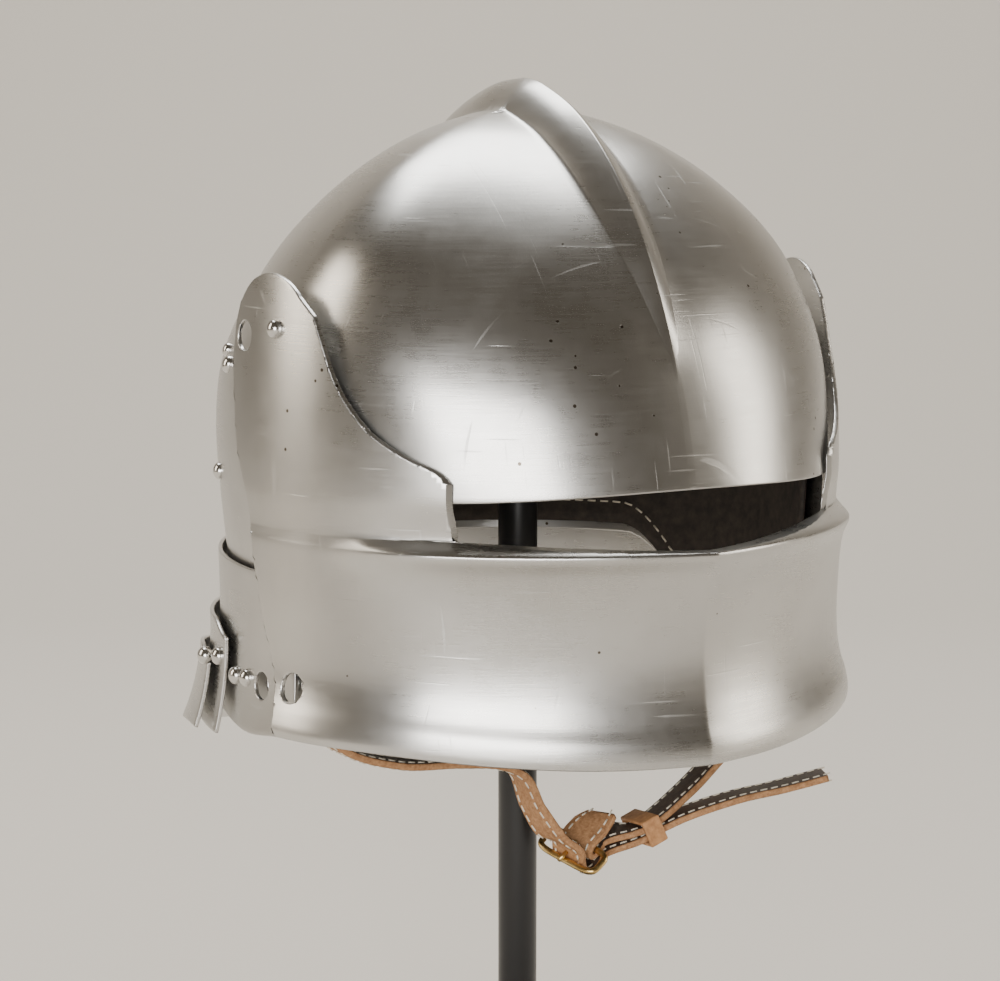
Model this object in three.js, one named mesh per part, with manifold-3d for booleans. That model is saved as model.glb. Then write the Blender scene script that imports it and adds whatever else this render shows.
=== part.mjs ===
// A visored sallet helmet on a plain black stand. Millimetres, +Z up, the face looks along -Y and
// the wearer's right side is at -X. The origin is under the middle of the stand's base.
import * as THREE from 'three';
import { mergeVertices } from 'three/addons/utils/BufferGeometryUtils.js';
import Module from 'manifold-3d';

const wasm = await Module();
wasm.setup();

// Sizes shared by several pieces. Heights of the helmet are counted from the top of the visor's hem.
const SEAT_GAP = 0.3;
const STEEL_WALL = 2.0;
const BASE_TO_HEM = 200;
const POLE_BEHIND_CENTRE = 4.4;

// The skull: half width, lengths forward and back of its centre, height of the crown, and its rim
const SKULL = {
  halfWidth: 114.4, front: 118, back: 129, crown: 218,
  browHeight: 87.5, browCorner: 84, sideRim: 4, napeRim: 42,
  cheekStart: 52, cheekEnd: 66, napeStart: 100, napeEnd: 126,
  combRise: 11, combHalfWidth: 12.5,
};

// Levels of the dome, as shares of the skull's sizes: its half width, its lengths forward and back,
// how far forward its broadest place lies, and how much of the comb's rise it has at each end
const DOME_LEVELS = [
  { height: 0.00, width: 0.96, front: 1.00, back: 0.86, broad: 0.00, crestFront: 0.00, crestBack: 0.00 },
  { height: 0.18, width: 0.97, front: 1.00, back: 0.88, broad: 0.00, crestFront: 0.00, crestBack: 0.00 },
  { height: 0.34, width: 0.99, front: 0.99, back: 0.96, broad: 0.01, crestFront: 0.00, crestBack: 0.00 },
  { height: 0.46, width: 1.00, front: 0.95, back: 1.00, broad: 0.03, crestFront: 0.00, crestBack: 0.06 },
  { height: 0.57, width: 0.99, front: 0.89, back: 0.96, broad: 0.06, crestFront: 0.00, crestBack: 0.20 },
  { height: 0.67, width: 0.93, front: 0.80, back: 0.86, broad: 0.10, crestFront: 0.16, crestBack: 0.40 },
  { height: 0.78, width: 0.81, front: 0.65, back: 0.72, broad: 0.135, crestFront: 0.50, crestBack: 0.62 },
  { height: 0.88, width: 0.61, front: 0.46, back: 0.55, broad: 0.125, crestFront: 0.80, crestBack: 0.82 },
  { height: 0.95, width: 0.39, front: 0.27, back: 0.37, broad: 0.09, crestFront: 0.95, crestBack: 0.95 },
  { height: 0.99, width: 0.17, front: 0.09, back: 0.17, broad: 0.045, crestFront: 1.00, crestBack: 1.00 },
  { height: 1.00, width: 0.00, front: 0.00, back: 0.00, broad: 0.00, crestFront: 1.00, crestBack: 1.00 },
];

// The visor goes round the skull with a gap at the sides and in front. Its waist's half width and
// length follow from these; keel is the reach of its front crease and squareness that of its plan.
// The hem rises by sideRise from the crease to the sides.
const VISOR_SIDE_GAP = 2.8;
const VISOR_FRONT_GAP = 1.3;
const VISOR_KEEL = 12.8;
const PIVOT_HEIGHT = 141;
const HEAD_BELOW_PIVOT = 4;
const HOLE_BELOW_PIVOT = 3.7;
const VISOR = {
  halfWidth: SKULL.halfWidth + VISOR_SIDE_GAP + STEEL_WALL,
  front: SKULL.front + VISOR_FRONT_GAP + STEEL_WALL - VISOR_KEEL,
  squareness: 2.2, keel: VISOR_KEEL, sweep: 112,
  hemDrop: 7, sideRise: 5, bandHeight: 74, lipFront: 68.3, lipCorner: 71.5, armTop: 165,
  ledge: 8.2, hemFlare: 4.6, armLean: 5.5,
  cornerBack: 85.7, cornerTop: 91, sightCorner: 43, ledgeEnd: 66, hemRiseFrom: 8, hemRiseTo: 62,
  pivotForward: 24, pivotHeight: PIVOT_HEIGHT,
  headForward: 17.5, headHeight: PIVOT_HEIGHT - HEAD_BELOW_PIVOT, headRadius: 23.2, headEnd: 138,
  holeRadius: 5.3, openForward: 2.5, openHeight: PIVOT_HEIGHT - HOLE_BELOW_PIVOT,
  catchForward: 35.5, catchHeight: 15.7,
};

// Levels of the visor's band: height as a share of the band, then how far it stands out from the
// waist at the front crease, at the sight's corner and behind the end of the ledge, as shares of
// the ledge or of the hem's flare.
const BAND_LEVELS = [
  { height: -0.095, of: 'hemFlare', crease: 1.12, corner: 1.00, rear: 1.00 },
  { height: -0.050, of: 'hemFlare', crease: 1.14, corner: 1.02, rear: 1.02 },
  { height: 0.020, of: 'hemFlare', crease: 1.00, corner: 0.86, rear: 0.76 },
  { height: 0.110, of: 'hemFlare', crease: 0.52, corner: 0.44, rear: 0.36 },
  { height: 0.240, of: 'hemFlare', crease: 0.14, corner: 0.12, rear: 0.08 },
  { height: 0.420, of: 'ledge', crease: 0.00, corner: 0.00, rear: 0.00 },
  { height: 0.640, of: 'ledge', crease: 0.20, corner: 0.10, rear: 0.00 },
  { height: 0.800, of: 'ledge', crease: 0.55, corner: 0.30, rear: 0.00 },
  { height: 0.890, of: 'ledge', crease: 1.00, corner: 0.62, rear: 0.00 },
  { height: 0.925, of: 'ledge', crease: 0.80, corner: 0.52, rear: -0.02 },
  { height: 0.965, of: 'ledge', crease: -0.10, corner: -0.20, rear: -0.04 },
];

// Front edge of the visor's arm, from the sight's corner up to its round head: how far it lies
// forward of the centre and how high, as shares of the corner's place and of the arm's height
const ARM_FRONT_EDGE = [
  { forward: 1.000, up: 0.000 },
  { forward: 0.960, up: 0.065 },
  { forward: 0.880, up: 0.125 },
  { forward: 0.760, up: 0.235 },
  { forward: 0.670, up: 0.365 },
  { forward: 0.600, up: 0.500 },
  { forward: 0.540, up: 0.665 },
  { forward: 0.490, up: 0.800 },
];

// Rear edge of the visor, from its round head down: how far back of the centre, as shares of the
// visor's length, and how high, as shares of the band's height
const ARM_REAR_EDGE = [
  { back: 0.060, up: 1.730 },
  { back: 0.009, up: 1.324 },
  { back: -0.065, up: 1.081 },
  { back: -0.115, up: 0.770 },
  { back: -0.158, up: 0.541 },
  { back: -0.235, up: 0.243 },
  { back: -0.272, up: 0.027 },
  { back: -0.295, up: -0.200 },
];

// The tail: three lames, each outside the one above it. Their heights are shares of the height of
// the first lame's top edge, and the spread is the added gap at that height from the pivots.
const TAIL_SIDE_GAP = 0.8;
const TAIL_DRAWN_IN = 7;
const TAIL = {
  halfWidth: SKULL.halfWidth + TAIL_SIDE_GAP, back: SKULL.back - TAIL_DRAWN_IN, top: 54,
  wall: 1.6, gap: 2.0, spread: 4.2, cornerDrop: 5,
  sideShare: 0.75, cornerShare: 0.9, frontShare: 0.84,
};

// Levels of the first lame's outer face, as shares of the tail's sizes
const TAIL_LEVELS = [
  { height: -0.704, width: 1.062, back: 1.160 },
  { height: -0.407, width: 1.040, back: 1.104 },
  { height: -0.148, width: 1.018, back: 1.060 },
  { height: 0.111, width: 1.004, back: 1.022 },
  { height: 0.370, width: 0.996, back: 0.994 },
  { height: 0.667, width: 0.996, back: 0.984 },
  { height: 1.000, width: 0.999, back: 0.986 },
];

// Each lame as shares of the tail's back length and top: its front edge, the heights of its edges
// at the front corner, the side and the nape, and its rivet
const LAMES = [
  {
    start: -0.246, topSide: 0.980, topNape: 1.000, lowFront: -0.070, lowSide: -0.167, lowNape: 0.222,
    rivetBack: 0.018, rivetHeight: 0.232,
  },
  {
    start: 0.138, topSide: 0.556, topNape: 0.519, lowFront: -0.194, lowSide: -0.194, lowNape: -0.148,
    rivetBack: 0.193, rivetHeight: 0.315,
  },
  {
    start: 0.224, topSide: 0.352, topNape: 0.111, lowFront: -0.194, lowSide: -0.194, lowNape: -0.630,
    rivetBack: 0.249, rivetHeight: 0.302,
  },
];

// Second rivet of the first lame and the open hole in front of its first, as shares of the tail
const LAME_SECOND_RIVET = { back: 0.101, height: 0.215 };
const LAME_HOLE = { back: -0.075, height: 0.215, radius: 5 };

const RIVET = {
  shank: 2.0, head: 3.3, rise: 2.4, tail: 2.8, tailRise: 0.7, hole: 2.5, slack: 1.2, sides: 8,
};
const CATCH_PIN = { radius: 3.2, dome: 2.4 };

// Rivets of the skull, on both sides: how far back of the centre and how high, in shares of the
// skull's back length and crown, and the size of the head beside the common one
const SKULL_RIVETS = [
  { name: 'arm_rivet_low', back: 0.213, height: 0.571, size: 1.0 },
  { name: 'arm_rivet_high', back: 0.279, height: 0.592, size: 0.8 },
  { name: 'lining_rivet_side', back: 0.326, height: 0.382, size: 1.0 },
  { name: 'lining_rivet_rear', back: 0.810, height: 0.382, size: 1.0 },
];

// The leather lining, a band inside the skull from its cheeks round the nape
const LINING = { wall: 1.8, gap: 1.9, start: 68, low: 24, top: 104, aboveRim: 4 };

// The chin strap. Its ends hang inside the skull's rivets, and its places are shares of these sizes.
const STRAP = {
  width: 15, thickness: 2.6, forward: 22, drop: 65, rivetHeight: 14, rivetRise: 1.2, clearance: 0.4,
};

// The buckle's frame: place of its outer bar, the bars' distance, their length and thickness
const BUCKLE = {
  centre: { x: 2.5, y: -26.5, z: -65 }, depth: 10.6, length: 26, bar: 1.3, corner: 2.2,
  clearance: 0.5, tongue: 0.9, tongueOver: 3,
};

// The keeper, a leather loop round both strands
const KEEPER = {
  centre: { x: 37.5, y: -28, z: -57 }, length: 7.5, wall: 1.6, clearance: 0.7, strandGap: 0.9, reach: 0.6,
};

// Right strap from the skull down to the buckle, as shares of the half span between the rivets, of
// the forward place and of the drop, and its turn about the upright in degrees
const RIGHT_STRAP = [
  { across: -1.000, forward: 1.000, down: -0.320, turn: 0 },
  { across: -1.000, forward: 1.000, down: -0.080, turn: 0 },
  { across: -0.900, forward: 1.000, down: 0.160, turn: 0 },
  { across: -0.673, forward: 1.000, down: 0.300, turn: 0 },
  { across: -0.416, forward: 0.955, down: 0.345, turn: 4 },
  { across: -0.238, forward: 0.955, down: 0.390, turn: 6 },
  { across: -0.150, forward: 1.030, down: 0.469, turn: 2 },
  { across: -0.105, forward: 1.160, down: 0.662, turn: -6 },
  { across: -0.052, forward: 1.330, down: 0.815, turn: -16 },
];

// Free end of the right strap beyond the keeper
const FREE_END = [
  { across: 0.505, forward: 1.500, down: 0.805 },
  { across: 0.688, forward: 1.864, down: 0.710 },
  { across: 0.838, forward: 2.136, down: 0.662 },
  { across: 1.011, forward: 2.500, down: 0.589 },
];

// Right strap through the buckle, from its crossing beside the outer bar: how far across, and how
// far up from the frame or from the underside of the fold, as shares of the buckle's depth
const THROUGH_BUCKLE = [
  { across: 0.00, up: 0.55, from: 'frame' },
  { across: 0.00, up: 0.00, from: 'frame' },
  { across: 0.04, up: -0.46, from: 'frame' },
  { across: 0.44, up: -0.34, from: 'fold' },
  { across: 1.20, up: -0.24, from: 'fold' },
];

// Left strap from the skull down to the keeper
const LEFT_STRAP = [
  { across: 1.000, forward: 1.000, down: -0.320, turn: 0 },
  { across: 1.000, forward: 1.000, down: -0.080, turn: 0 },
  { across: 0.930, forward: 1.000, down: 0.154, turn: 4 },
  { across: 0.792, forward: 1.045, down: 0.415, turn: 10 },
  { across: 0.649, forward: 1.091, down: 0.611, turn: 16 },
  { across: 0.515, forward: 1.200, down: 0.735, turn: 18 },
];

// The left strap's fold round the inner bar, from its underside to its end on top: how far past
// the bar in shares of the buckle's depth, how far up in shares of the fold's radius, or its turn
// round the bar in degrees
const FOLD = [
  { past: 0.72, up: -1.15 },
  { turn: -90 }, { turn: -135 }, { turn: -180 }, { turn: -225 }, { turn: -270 },
  { past: 0.59, up: 1.00 },
  { past: 1.27, up: 0.88 },
];

// The stand: a pole from a round base up to a pad under the crown
const STAND = {
  poleRadius: 7.5, baseRadius: 100, baseHeight: 12, baseEdge: 2,
  padRadius: 25, padFoot: 18.75, padHeight: 22, padDrop: 6.4, padGap: 0.3,
};

const COLOURS = {
  steel: { color: 0xb9babb, roughness: 0.3, metalness: 1.0 },
  rivet: { color: 0xc6c6c4, roughness: 0.22, metalness: 1.0 },
  brass: { color: 0xc29a3e, roughness: 0.3, metalness: 1.0 },
  leather: { color: 0x2f2019, roughness: 0.7, metalness: 0.0 },
  keeper: { color: 0xb5783f, roughness: 0.65, metalness: 0.0 },
  stand: { color: 0x151517, roughness: 0.4, metalness: 0.3 },
};

// Value of one column of a table at a place between its rows, on a smooth curve through the rows
function smoothColumn(rows, column, place) {
  const last = rows.length - 1;
  const at = Math.min(Math.max(place, 0), last);
  const index = Math.min(Math.floor(at), last - 1);
  const t = at - index;
  const p1 = rows[index][column];
  const p2 = rows[index + 1][column];
  const p0 = index > 0 ? rows[index - 1][column] : 2 * p1 - p2;
  const p3 = index + 2 <= last ? rows[index + 2][column] : 2 * p2 - p1;
  const bend = 2 * p0 - 5 * p1 + 4 * p2 - p3;
  return p1 + 0.5 * t * (p2 - p0 + t * (bend + t * (3 * (p1 - p2) + p3 - p0)));
}

// Place in a table where its rising column reaches a value
function placeOf(rows, column, value) {
  let low = 0;
  let high = rows.length - 1;
  for (let step = 0; step < 40; step += 1) {
    const middle = (low + high) / 2;
    if (smoothColumn(rows, column, middle) < value) {
      low = middle;
    } else {
      high = middle;
    }
  }
  return (low + high) / 2;
}

function smoothStep(low, high, value) {
  const t = Math.min(Math.max((value - low) / (high - low), 0), 1);
  return t * t * (3 - 2 * t);
}

function mix(a, b, t) {
  return a + (b - a) * t;
}

// A plate of even wall from rows of points on its outer face. With closed set, each row runs all
// round; with an apex, the last row meets in that one point.
function plate(rows, wall, closed = false, apex = null) {
  const columns = rows[0].length;
  const points = rows.flat();
  const faces = [];
  const spans = closed ? columns : columns - 1;
  for (let r = 0; r < rows.length - 1; r += 1) {
    for (let c = 0; c < spans; c += 1) {
      const a = r * columns + c;
      const b = r * columns + ((c + 1) % columns);
      const up = a + columns;
      const upNext = b + columns;
      faces.push([a, b, upNext], [a, upNext, up]);
    }
  }
  if (apex) {
    const top = points.length;
    points.push(apex);
    for (let c = 0; c < spans; c += 1) {
      const a = (rows.length - 1) * columns + c;
      const b = (rows.length - 1) * columns + ((c + 1) % columns);
      faces.push([a, b, top]);
    }
  }
  const outer = new THREE.BufferGeometry();
  outer.setAttribute('position', new THREE.Float32BufferAttribute(points.flatMap((p) => p.toArray()), 3));
  outer.setIndex(faces.flat());
  outer.computeVertexNormals();
  const normals = outer.attributes.normal;
  const count = points.length;
  const all = points.slice();
  points.forEach((point, i) => {
    const normal = new THREE.Vector3().fromBufferAttribute(normals, i);
    all.push(point.clone().addScaledVector(normal, -wall));
  });
  const triangles = faces.slice();
  faces.forEach(([a, b, c]) => triangles.push([a + count, c + count, b + count]));
  const edges = new Map();
  faces.forEach(([a, b, c]) => {
    [[a, b], [b, c], [c, a]].forEach(([from, to]) => edges.set(`${from},${to}`, [from, to]));
  });
  edges.forEach(([from, to]) => {
    if (!edges.has(`${to},${from}`)) {
      triangles.push([to, from, from + count], [to, from + count, to + count]);
    }
  });
  const geometry = new THREE.BufferGeometry();
  geometry.setAttribute('position', new THREE.Float32BufferAttribute(all.flatMap((p) => p.toArray()), 3));
  geometry.setIndex(triangles.flat());
  return geometry;
}

function toSolid(geometry) {
  const bare = geometry.clone();
  bare.deleteAttribute('normal');
  bare.deleteAttribute('uv');
  const merged = mergeVertices(bare, 1e-4);
  return new wasm.Manifold(new wasm.Mesh({
    numProp: 3,
    vertProperties: new Float32Array(merged.attributes.position.array),
    triVerts: new Uint32Array(merged.index.array),
  }));
}

function toGeometry(solid) {
  const mesh = solid.getMesh();
  const geometry = new THREE.BufferGeometry();
  geometry.setAttribute('position', new THREE.Float32BufferAttribute(mesh.vertProperties, 3));
  geometry.setIndex(Array.from(mesh.triVerts));
  return geometry;
}

function cut(geometry, cutters) {
  const solid = cutters.reduce((body, cutter) => body.subtract(toSolid(cutter)), toSolid(geometry));
  return toGeometry(solid);
}

// A round cutter along X on one side of the helmet
function sideHole(side, back, height, radius, inner, outer, sides = 14) {
  const hole = new THREE.CylinderGeometry(radius, radius, outer - inner, sides);
  hole.rotateZ(Math.PI / 2);
  hole.translate(side * (inner + outer) / 2, back, height);
  return hole;
}

const helmet = new THREE.Group();
helmet.position.set(0, -POLE_BEHIND_CENTRE, BASE_TO_HEM);
const group = new THREE.Group();
group.add(helmet);

function addPiece(parent, name, geometry, finish) {
  const bare = geometry.index ? geometry : mergeVertices(geometry);
  bare.computeVertexNormals();
  const mesh = new THREE.Mesh(bare, new THREE.MeshStandardMaterial(COLOURS[finish]));
  mesh.name = name;
  parent.add(mesh);
  return mesh;
}

// Skull: one raised steel shell, widest above the ears, drawn in at the nape, with a medial comb.

// Height of the skull's rim at an angle from the brow (degrees): brow, cheek, side, nape
function rimHeight(angle) {
  const brow = mix(SKULL.browHeight, SKULL.browCorner, smoothStep(0, SKULL.cheekStart, angle));
  const cheek = mix(brow, SKULL.sideRim, smoothStep(SKULL.cheekStart, SKULL.cheekEnd, angle));
  return mix(cheek, SKULL.napeRim, smoothStep(SKULL.napeStart, SKULL.napeEnd, angle));
}

// Point of the dome without its comb, at an angle from the brow, drawn inwards by an inset
function domePoint(angle, level, inset = 0) {
  const width = SKULL.halfWidth * smoothColumn(DOME_LEVELS, 'width', level) - inset;
  const broadest = SKULL.front * smoothColumn(DOME_LEVELS, 'broad', level);
  const forward = Math.abs(angle) < Math.PI / 2;
  const length = forward
    ? SKULL.front * smoothColumn(DOME_LEVELS, 'front', level) - broadest
    : SKULL.back * smoothColumn(DOME_LEVELS, 'back', level) + broadest;
  const height = SKULL.crown * smoothColumn(DOME_LEVELS, 'height', level);
  return new THREE.Vector3(width * Math.sin(angle), -(length - inset) * Math.cos(angle) - broadest, height);
}

// The comb's rise and half width over one level of the dome, at the front or the back
function combAt(level, forward) {
  const column = forward ? 'crestFront' : 'crestBack';
  const share = Math.max(smoothColumn(DOME_LEVELS, column, level), 0);
  return {
    rise: SKULL.combRise * share,
    half: SKULL.combHalfWidth * mix(0.1, 1, Math.sqrt(Math.min(share, 1))),
  };
}

// A convex flank from the sharp crest down to the comb's foot
function flankShare(t) {
  return t < 1 ? (1 - t) * (1 + 0.5 * t) : 0;
}

function medianNormal(level, forward) {
  const angle = forward ? 0 : Math.PI;
  const step = 0.05;
  const top = DOME_LEVELS.length - 1;
  const low = domePoint(angle, Math.max(level - step, 0));
  const high = domePoint(angle, Math.min(level + step, top));
  const along = high.sub(low).normalize();
  const outward = new THREE.Vector3(0, forward ? -along.z : along.z, Math.abs(along.y));
  return outward.normalize();
}

function skullPoint(angle, level, forward) {
  const point = domePoint(angle, level);
  const comb = combAt(level, forward);
  const share = flankShare(Math.abs(point.x) / comb.half);
  return point.addScaledVector(medianNormal(level, forward), comb.rise * share);
}

// Angles of the columns on one side, three of them following the comb at each end
function columnAngles(level) {
  const width = Math.max(SKULL.halfWidth * smoothColumn(DOME_LEVELS, 'width', level), 1);
  const shares = [0, 0.5, 1];
  const reach = (forward) => Math.min(combAt(level, forward).half / width, 0.85);
  const front = shares.map((share) => Math.asin(share * reach(true)));
  const back = shares.map((share) => Math.PI - Math.asin(share * reach(false))).reverse();
  const sides = 15;
  const between = [];
  for (let i = 1; i < sides; i += 1) {
    between.push(mix(front[2], back[0], i / sides));
  }
  return [...front, ...between, ...back];
}

function skullRows() {
  const top = DOME_LEVELS.length - 1;
  const rowCount = 13;
  const rows = [];
  for (let r = 0; r < rowCount; r += 1) {
    const share = r / rowCount;
    const around = columnAngles(mix(2, top, share));
    const half = around.map((angle) => {
      const rim = placeOf(DOME_LEVELS, 'height', rimHeight(THREE.MathUtils.radToDeg(angle)) / SKULL.crown);
      const level = mix(rim, top, share);
      return { angle, level };
    });
    const right = half.map(({ angle, level }) => skullPoint(angle, level, angle < Math.PI / 2));
    const left = half.slice(1, -1).reverse();
    const mirrored = left.map(({ angle, level }) => {
      const point = skullPoint(angle, level, angle < Math.PI / 2);
      return point.setX(-point.x);
    });
    rows.push([...right, ...mirrored]);
  }
  return rows;
}

const crownPoint = new THREE.Vector3(0, 0, SKULL.crown + SKULL.combRise);
const SIDES = { right: -1, left: 1 };
const BEYOND_WALLS = 1.2 * VISOR.halfWidth;
const INSIDE_WALLS = SKULL.halfWidth / 2;

function acrossHoles(back, height, radius, sides) {
  return Object.values(SIDES).map((side) => (
    sideHole(side, back, height, radius, INSIDE_WALLS, BEYOND_WALLS, sides)
  ));
}

function rivetHoles(back, height) {
  return acrossHoles(back, height, RIVET.hole, RIVET.sides);
}

const lamePlace = (lame) => [TAIL.back * lame.rivetBack, TAIL.top * lame.rivetHeight];
const secondRivetPlace = [TAIL.back * LAME_SECOND_RIVET.back, TAIL.top * LAME_SECOND_RIVET.height];
const lameHolePlace = [TAIL.back * LAME_HOLE.back, TAIL.top * LAME_HOLE.height];

// Level and angle from the brow of the skull's surface at a distance back and a height
function skullPlace(back, height) {
  const level = placeOf(DOME_LEVELS, 'height', height / SKULL.crown);
  let near = 0;
  let far = Math.PI;
  for (let step = 0; step < 40; step += 1) {
    const middle = (near + far) / 2;
    if (domePoint(middle, level).y < back) {
      near = middle;
    } else {
      far = middle;
    }
  }
  return { level, angle: (near + far) / 2 };
}

// The skull's outer face at a side: a point on it and the direction out of it
function skullFrame(side, back, height) {
  const { level, angle } = skullPlace(back, height);
  const step = 0.01;
  const point = domePoint(angle, level);
  const along = domePoint(angle + step, level).sub(point);
  const upward = domePoint(angle, level + step).sub(point);
  const out = along.cross(upward).normalize();
  point.x *= side;
  out.x *= side;
  return { point, out };
}

// Turns a shape built along +Y so that it stands on a point along a direction
function standOn(geometry, point, out) {
  const turn = new THREE.Quaternion().setFromUnitVectors(new THREE.Vector3(0, 1, 0), out);
  geometry.applyQuaternion(turn);
  geometry.translate(point.x, point.y, point.z);
  return geometry;
}

const skullRivetSeats = SKULL_RIVETS.flatMap(({ name, back, height, size }) => (
  Object.entries(SIDES).map(([side, sign]) => ({
    name: `${name}_${side}`,
    size,
    ...skullFrame(sign, SKULL.back * back, SKULL.crown * height),
  }))
));

function skullGeometry() {
  const napeHoles = skullRivetSeats.map(({ point, out }) => (
    standOn(new THREE.CylinderGeometry(RIVET.hole, RIVET.hole, 6 * STEEL_WALL, RIVET.sides), point, out)
  ));
  return cut(plate(skullRows(), STEEL_WALL, true, crownPoint), [
    ...napeHoles,
    ...rivetHoles(-VISOR.pivotForward, VISOR.pivotHeight),
    ...rivetHoles(...lamePlace(LAMES[0])),
    ...rivetHoles(...secondRivetPlace),
    ...rivetHoles(-VISOR.catchForward, VISOR.catchHeight),
    ...rivetHoles(-STRAP.forward, STRAP.rivetHeight),
    ...acrossHoles(...lameHolePlace, LAME_HOLE.radius, 12),
  ]);
}

addPiece(helmet, 'skull', skullGeometry(), 'steel');

// Visor: a band with a front crease, a turned hem, a ledge under the sight and two arms.

function bandColumn(column, level) {
  const index = Math.round(level);
  const row = BAND_LEVELS[index];
  return VISOR[row.of] * row[column];
}

function visorPoint(angle, height, out) {
  const sine = Math.abs(Math.sin(angle));
  const cosine = Math.abs(Math.cos(angle));
  const ahead = Math.sign(Math.cos(angle));
  const side = Math.sign(angle);
  const round = 2 / VISOR.squareness;
  const keel = VISOR.keel * (1 - sine) ** 2;
  const x = side * VISOR.halfWidth * sine ** round;
  const y = -ahead * VISOR.front * cosine ** round - (ahead > 0 ? keel : 0);
  const normal = new THREE.Vector3(
    side * sine ** (2 - round) / VISOR.halfWidth,
    -ahead * cosine ** (2 - round) / VISOR.front,
    0,
  ).normalize();
  return new THREE.Vector3(x, y, height).addScaledVector(normal, out);
}

// How far the arms lean in from the waist at a height above the band
function armOut(height) {
  const share = Math.max(height - VISOR.bandHeight, 0) / (VISOR.armTop - VISOR.bandHeight);
  return -VISOR.armLean * share ** 2;
}

function bandOut(level, degrees) {
  const toCorner = Math.min(degrees / VISOR.sightCorner, 1);
  const crease = bandColumn('crease', level);
  const corner = bandColumn('corner', level);
  const rear = bandColumn('rear', level);
  const ahead = mix(crease, corner, toCorner);
  return mix(ahead, rear, smoothStep(VISOR.sightCorner, VISOR.ledgeEnd, degrees));
}

// Rise of the hem from the crease to the sides, fading out up the band
function hemLift(degrees, heightShare) {
  const fade = 1 - smoothStep(0.02, 0.42, heightShare);
  return VISOR.sideRise * smoothStep(VISOR.hemRiseFrom, VISOR.hemRiseTo, degrees) * fade;
}

function visorRows() {
  const columns = 44;
  const armRows = 5;
  const angles = Array.from({ length: columns + 1 }, (_, c) => mix(-VISOR.sweep, VISOR.sweep, c / columns));
  const rows = BAND_LEVELS.map((row, level) => angles.map((degrees) => {
    const height = VISOR.bandHeight * row.height + hemLift(Math.abs(degrees), row.height);
    const out = bandOut(level, Math.abs(degrees));
    return visorPoint(THREE.MathUtils.degToRad(degrees), height, out);
  }));
  for (let r = 1; r <= armRows; r += 1) {
    const height = mix(VISOR.bandHeight, VISOR.armTop, r / armRows);
    rows.push(angles.map((degrees) => (
      visorPoint(THREE.MathUtils.degToRad(degrees), height, armOut(height))
    )));
  }
  return rows;
}

// Side view of what the visor's plate keeps, as a shape whose first axis is back and second is up
function visorSideShape() {
  const shape = new THREE.Shape();
  const armHeight = VISOR.headHeight + VISOR.headRadius - VISOR.cornerTop;
  const far = 2 * VISOR.front;
  const bottom = -4 * VISOR.hemDrop;
  shape.moveTo(-far, bottom);
  [...ARM_REAR_EDGE].reverse().forEach(({ back, up }) => {
    shape.lineTo(VISOR.front * back, VISOR.bandHeight * up);
  });
  const headSteps = 12;
  const headEnd = THREE.MathUtils.degToRad(VISOR.headEnd);
  for (let i = 1; i <= headSteps; i += 1) {
    const angle = (headEnd * i) / headSteps;
    shape.lineTo(
      -VISOR.headForward + VISOR.headRadius * Math.cos(angle),
      VISOR.headHeight + VISOR.headRadius * Math.sin(angle),
    );
  }
  [...ARM_FRONT_EDGE].reverse().forEach(({ forward, up }) => {
    shape.lineTo(-VISOR.cornerBack * forward, VISOR.cornerTop + armHeight * up);
  });
  const lipRise = (VISOR.lipCorner - VISOR.lipFront) / (VISOR.front + VISOR.keel - VISOR.cornerBack);
  shape.lineTo(-VISOR.cornerBack, VISOR.lipCorner);
  shape.lineTo(-far, VISOR.lipCorner - lipRise * (far - VISOR.cornerBack));
  return shape;
}

// A side-view shape pulled right across the helmet
function acrossHelmet(shape) {
  const depth = 4 * VISOR.halfWidth;
  const solid = new THREE.ExtrudeGeometry(shape, { depth, bevelEnabled: false });
  solid.translate(0, 0, -depth / 2);
  solid.applyMatrix4(new THREE.Matrix4().set(
    0, 0, 1, 0,
    1, 0, 0, 0,
    0, 1, 0, 0,
    0, 0, 0, 1,
  ));
  return solid;
}

function visorGeometry() {
  const kept = toSolid(plate(visorRows(), STEEL_WALL)).intersect(toSolid(acrossHelmet(visorSideShape())));
  const holes = [
    ...rivetHoles(-VISOR.pivotForward, VISOR.pivotHeight),
    ...acrossHoles(-VISOR.openForward, VISOR.openHeight, VISOR.holeRadius),
    ...acrossHoles(-VISOR.catchForward, VISOR.catchHeight, VISOR.holeRadius),
  ];
  return cut(toGeometry(kept), holes);
}

addPiece(helmet, 'visor', visorGeometry(), 'steel');

// Tail lames: curved neck plates, each riveted outside the one above it.

function lameStandOff(index, height) {
  const away = Math.abs(height / TAIL.top - LAMES[1].rivetHeight);
  return index * (TAIL.wall + TAIL.gap + TAIL.spread * away * away);
}

function tailPoint(index, angle, height) {
  const level = placeOf(TAIL_LEVELS, 'height', height / TAIL.top);
  const out = lameStandOff(index, height);
  const width = TAIL.halfWidth * smoothColumn(TAIL_LEVELS, 'width', level) + out;
  const back = TAIL.back * smoothColumn(TAIL_LEVELS, 'back', level) + out;
  return new THREE.Vector3(width * Math.sin(angle), back * Math.cos(angle), height);
}

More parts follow.
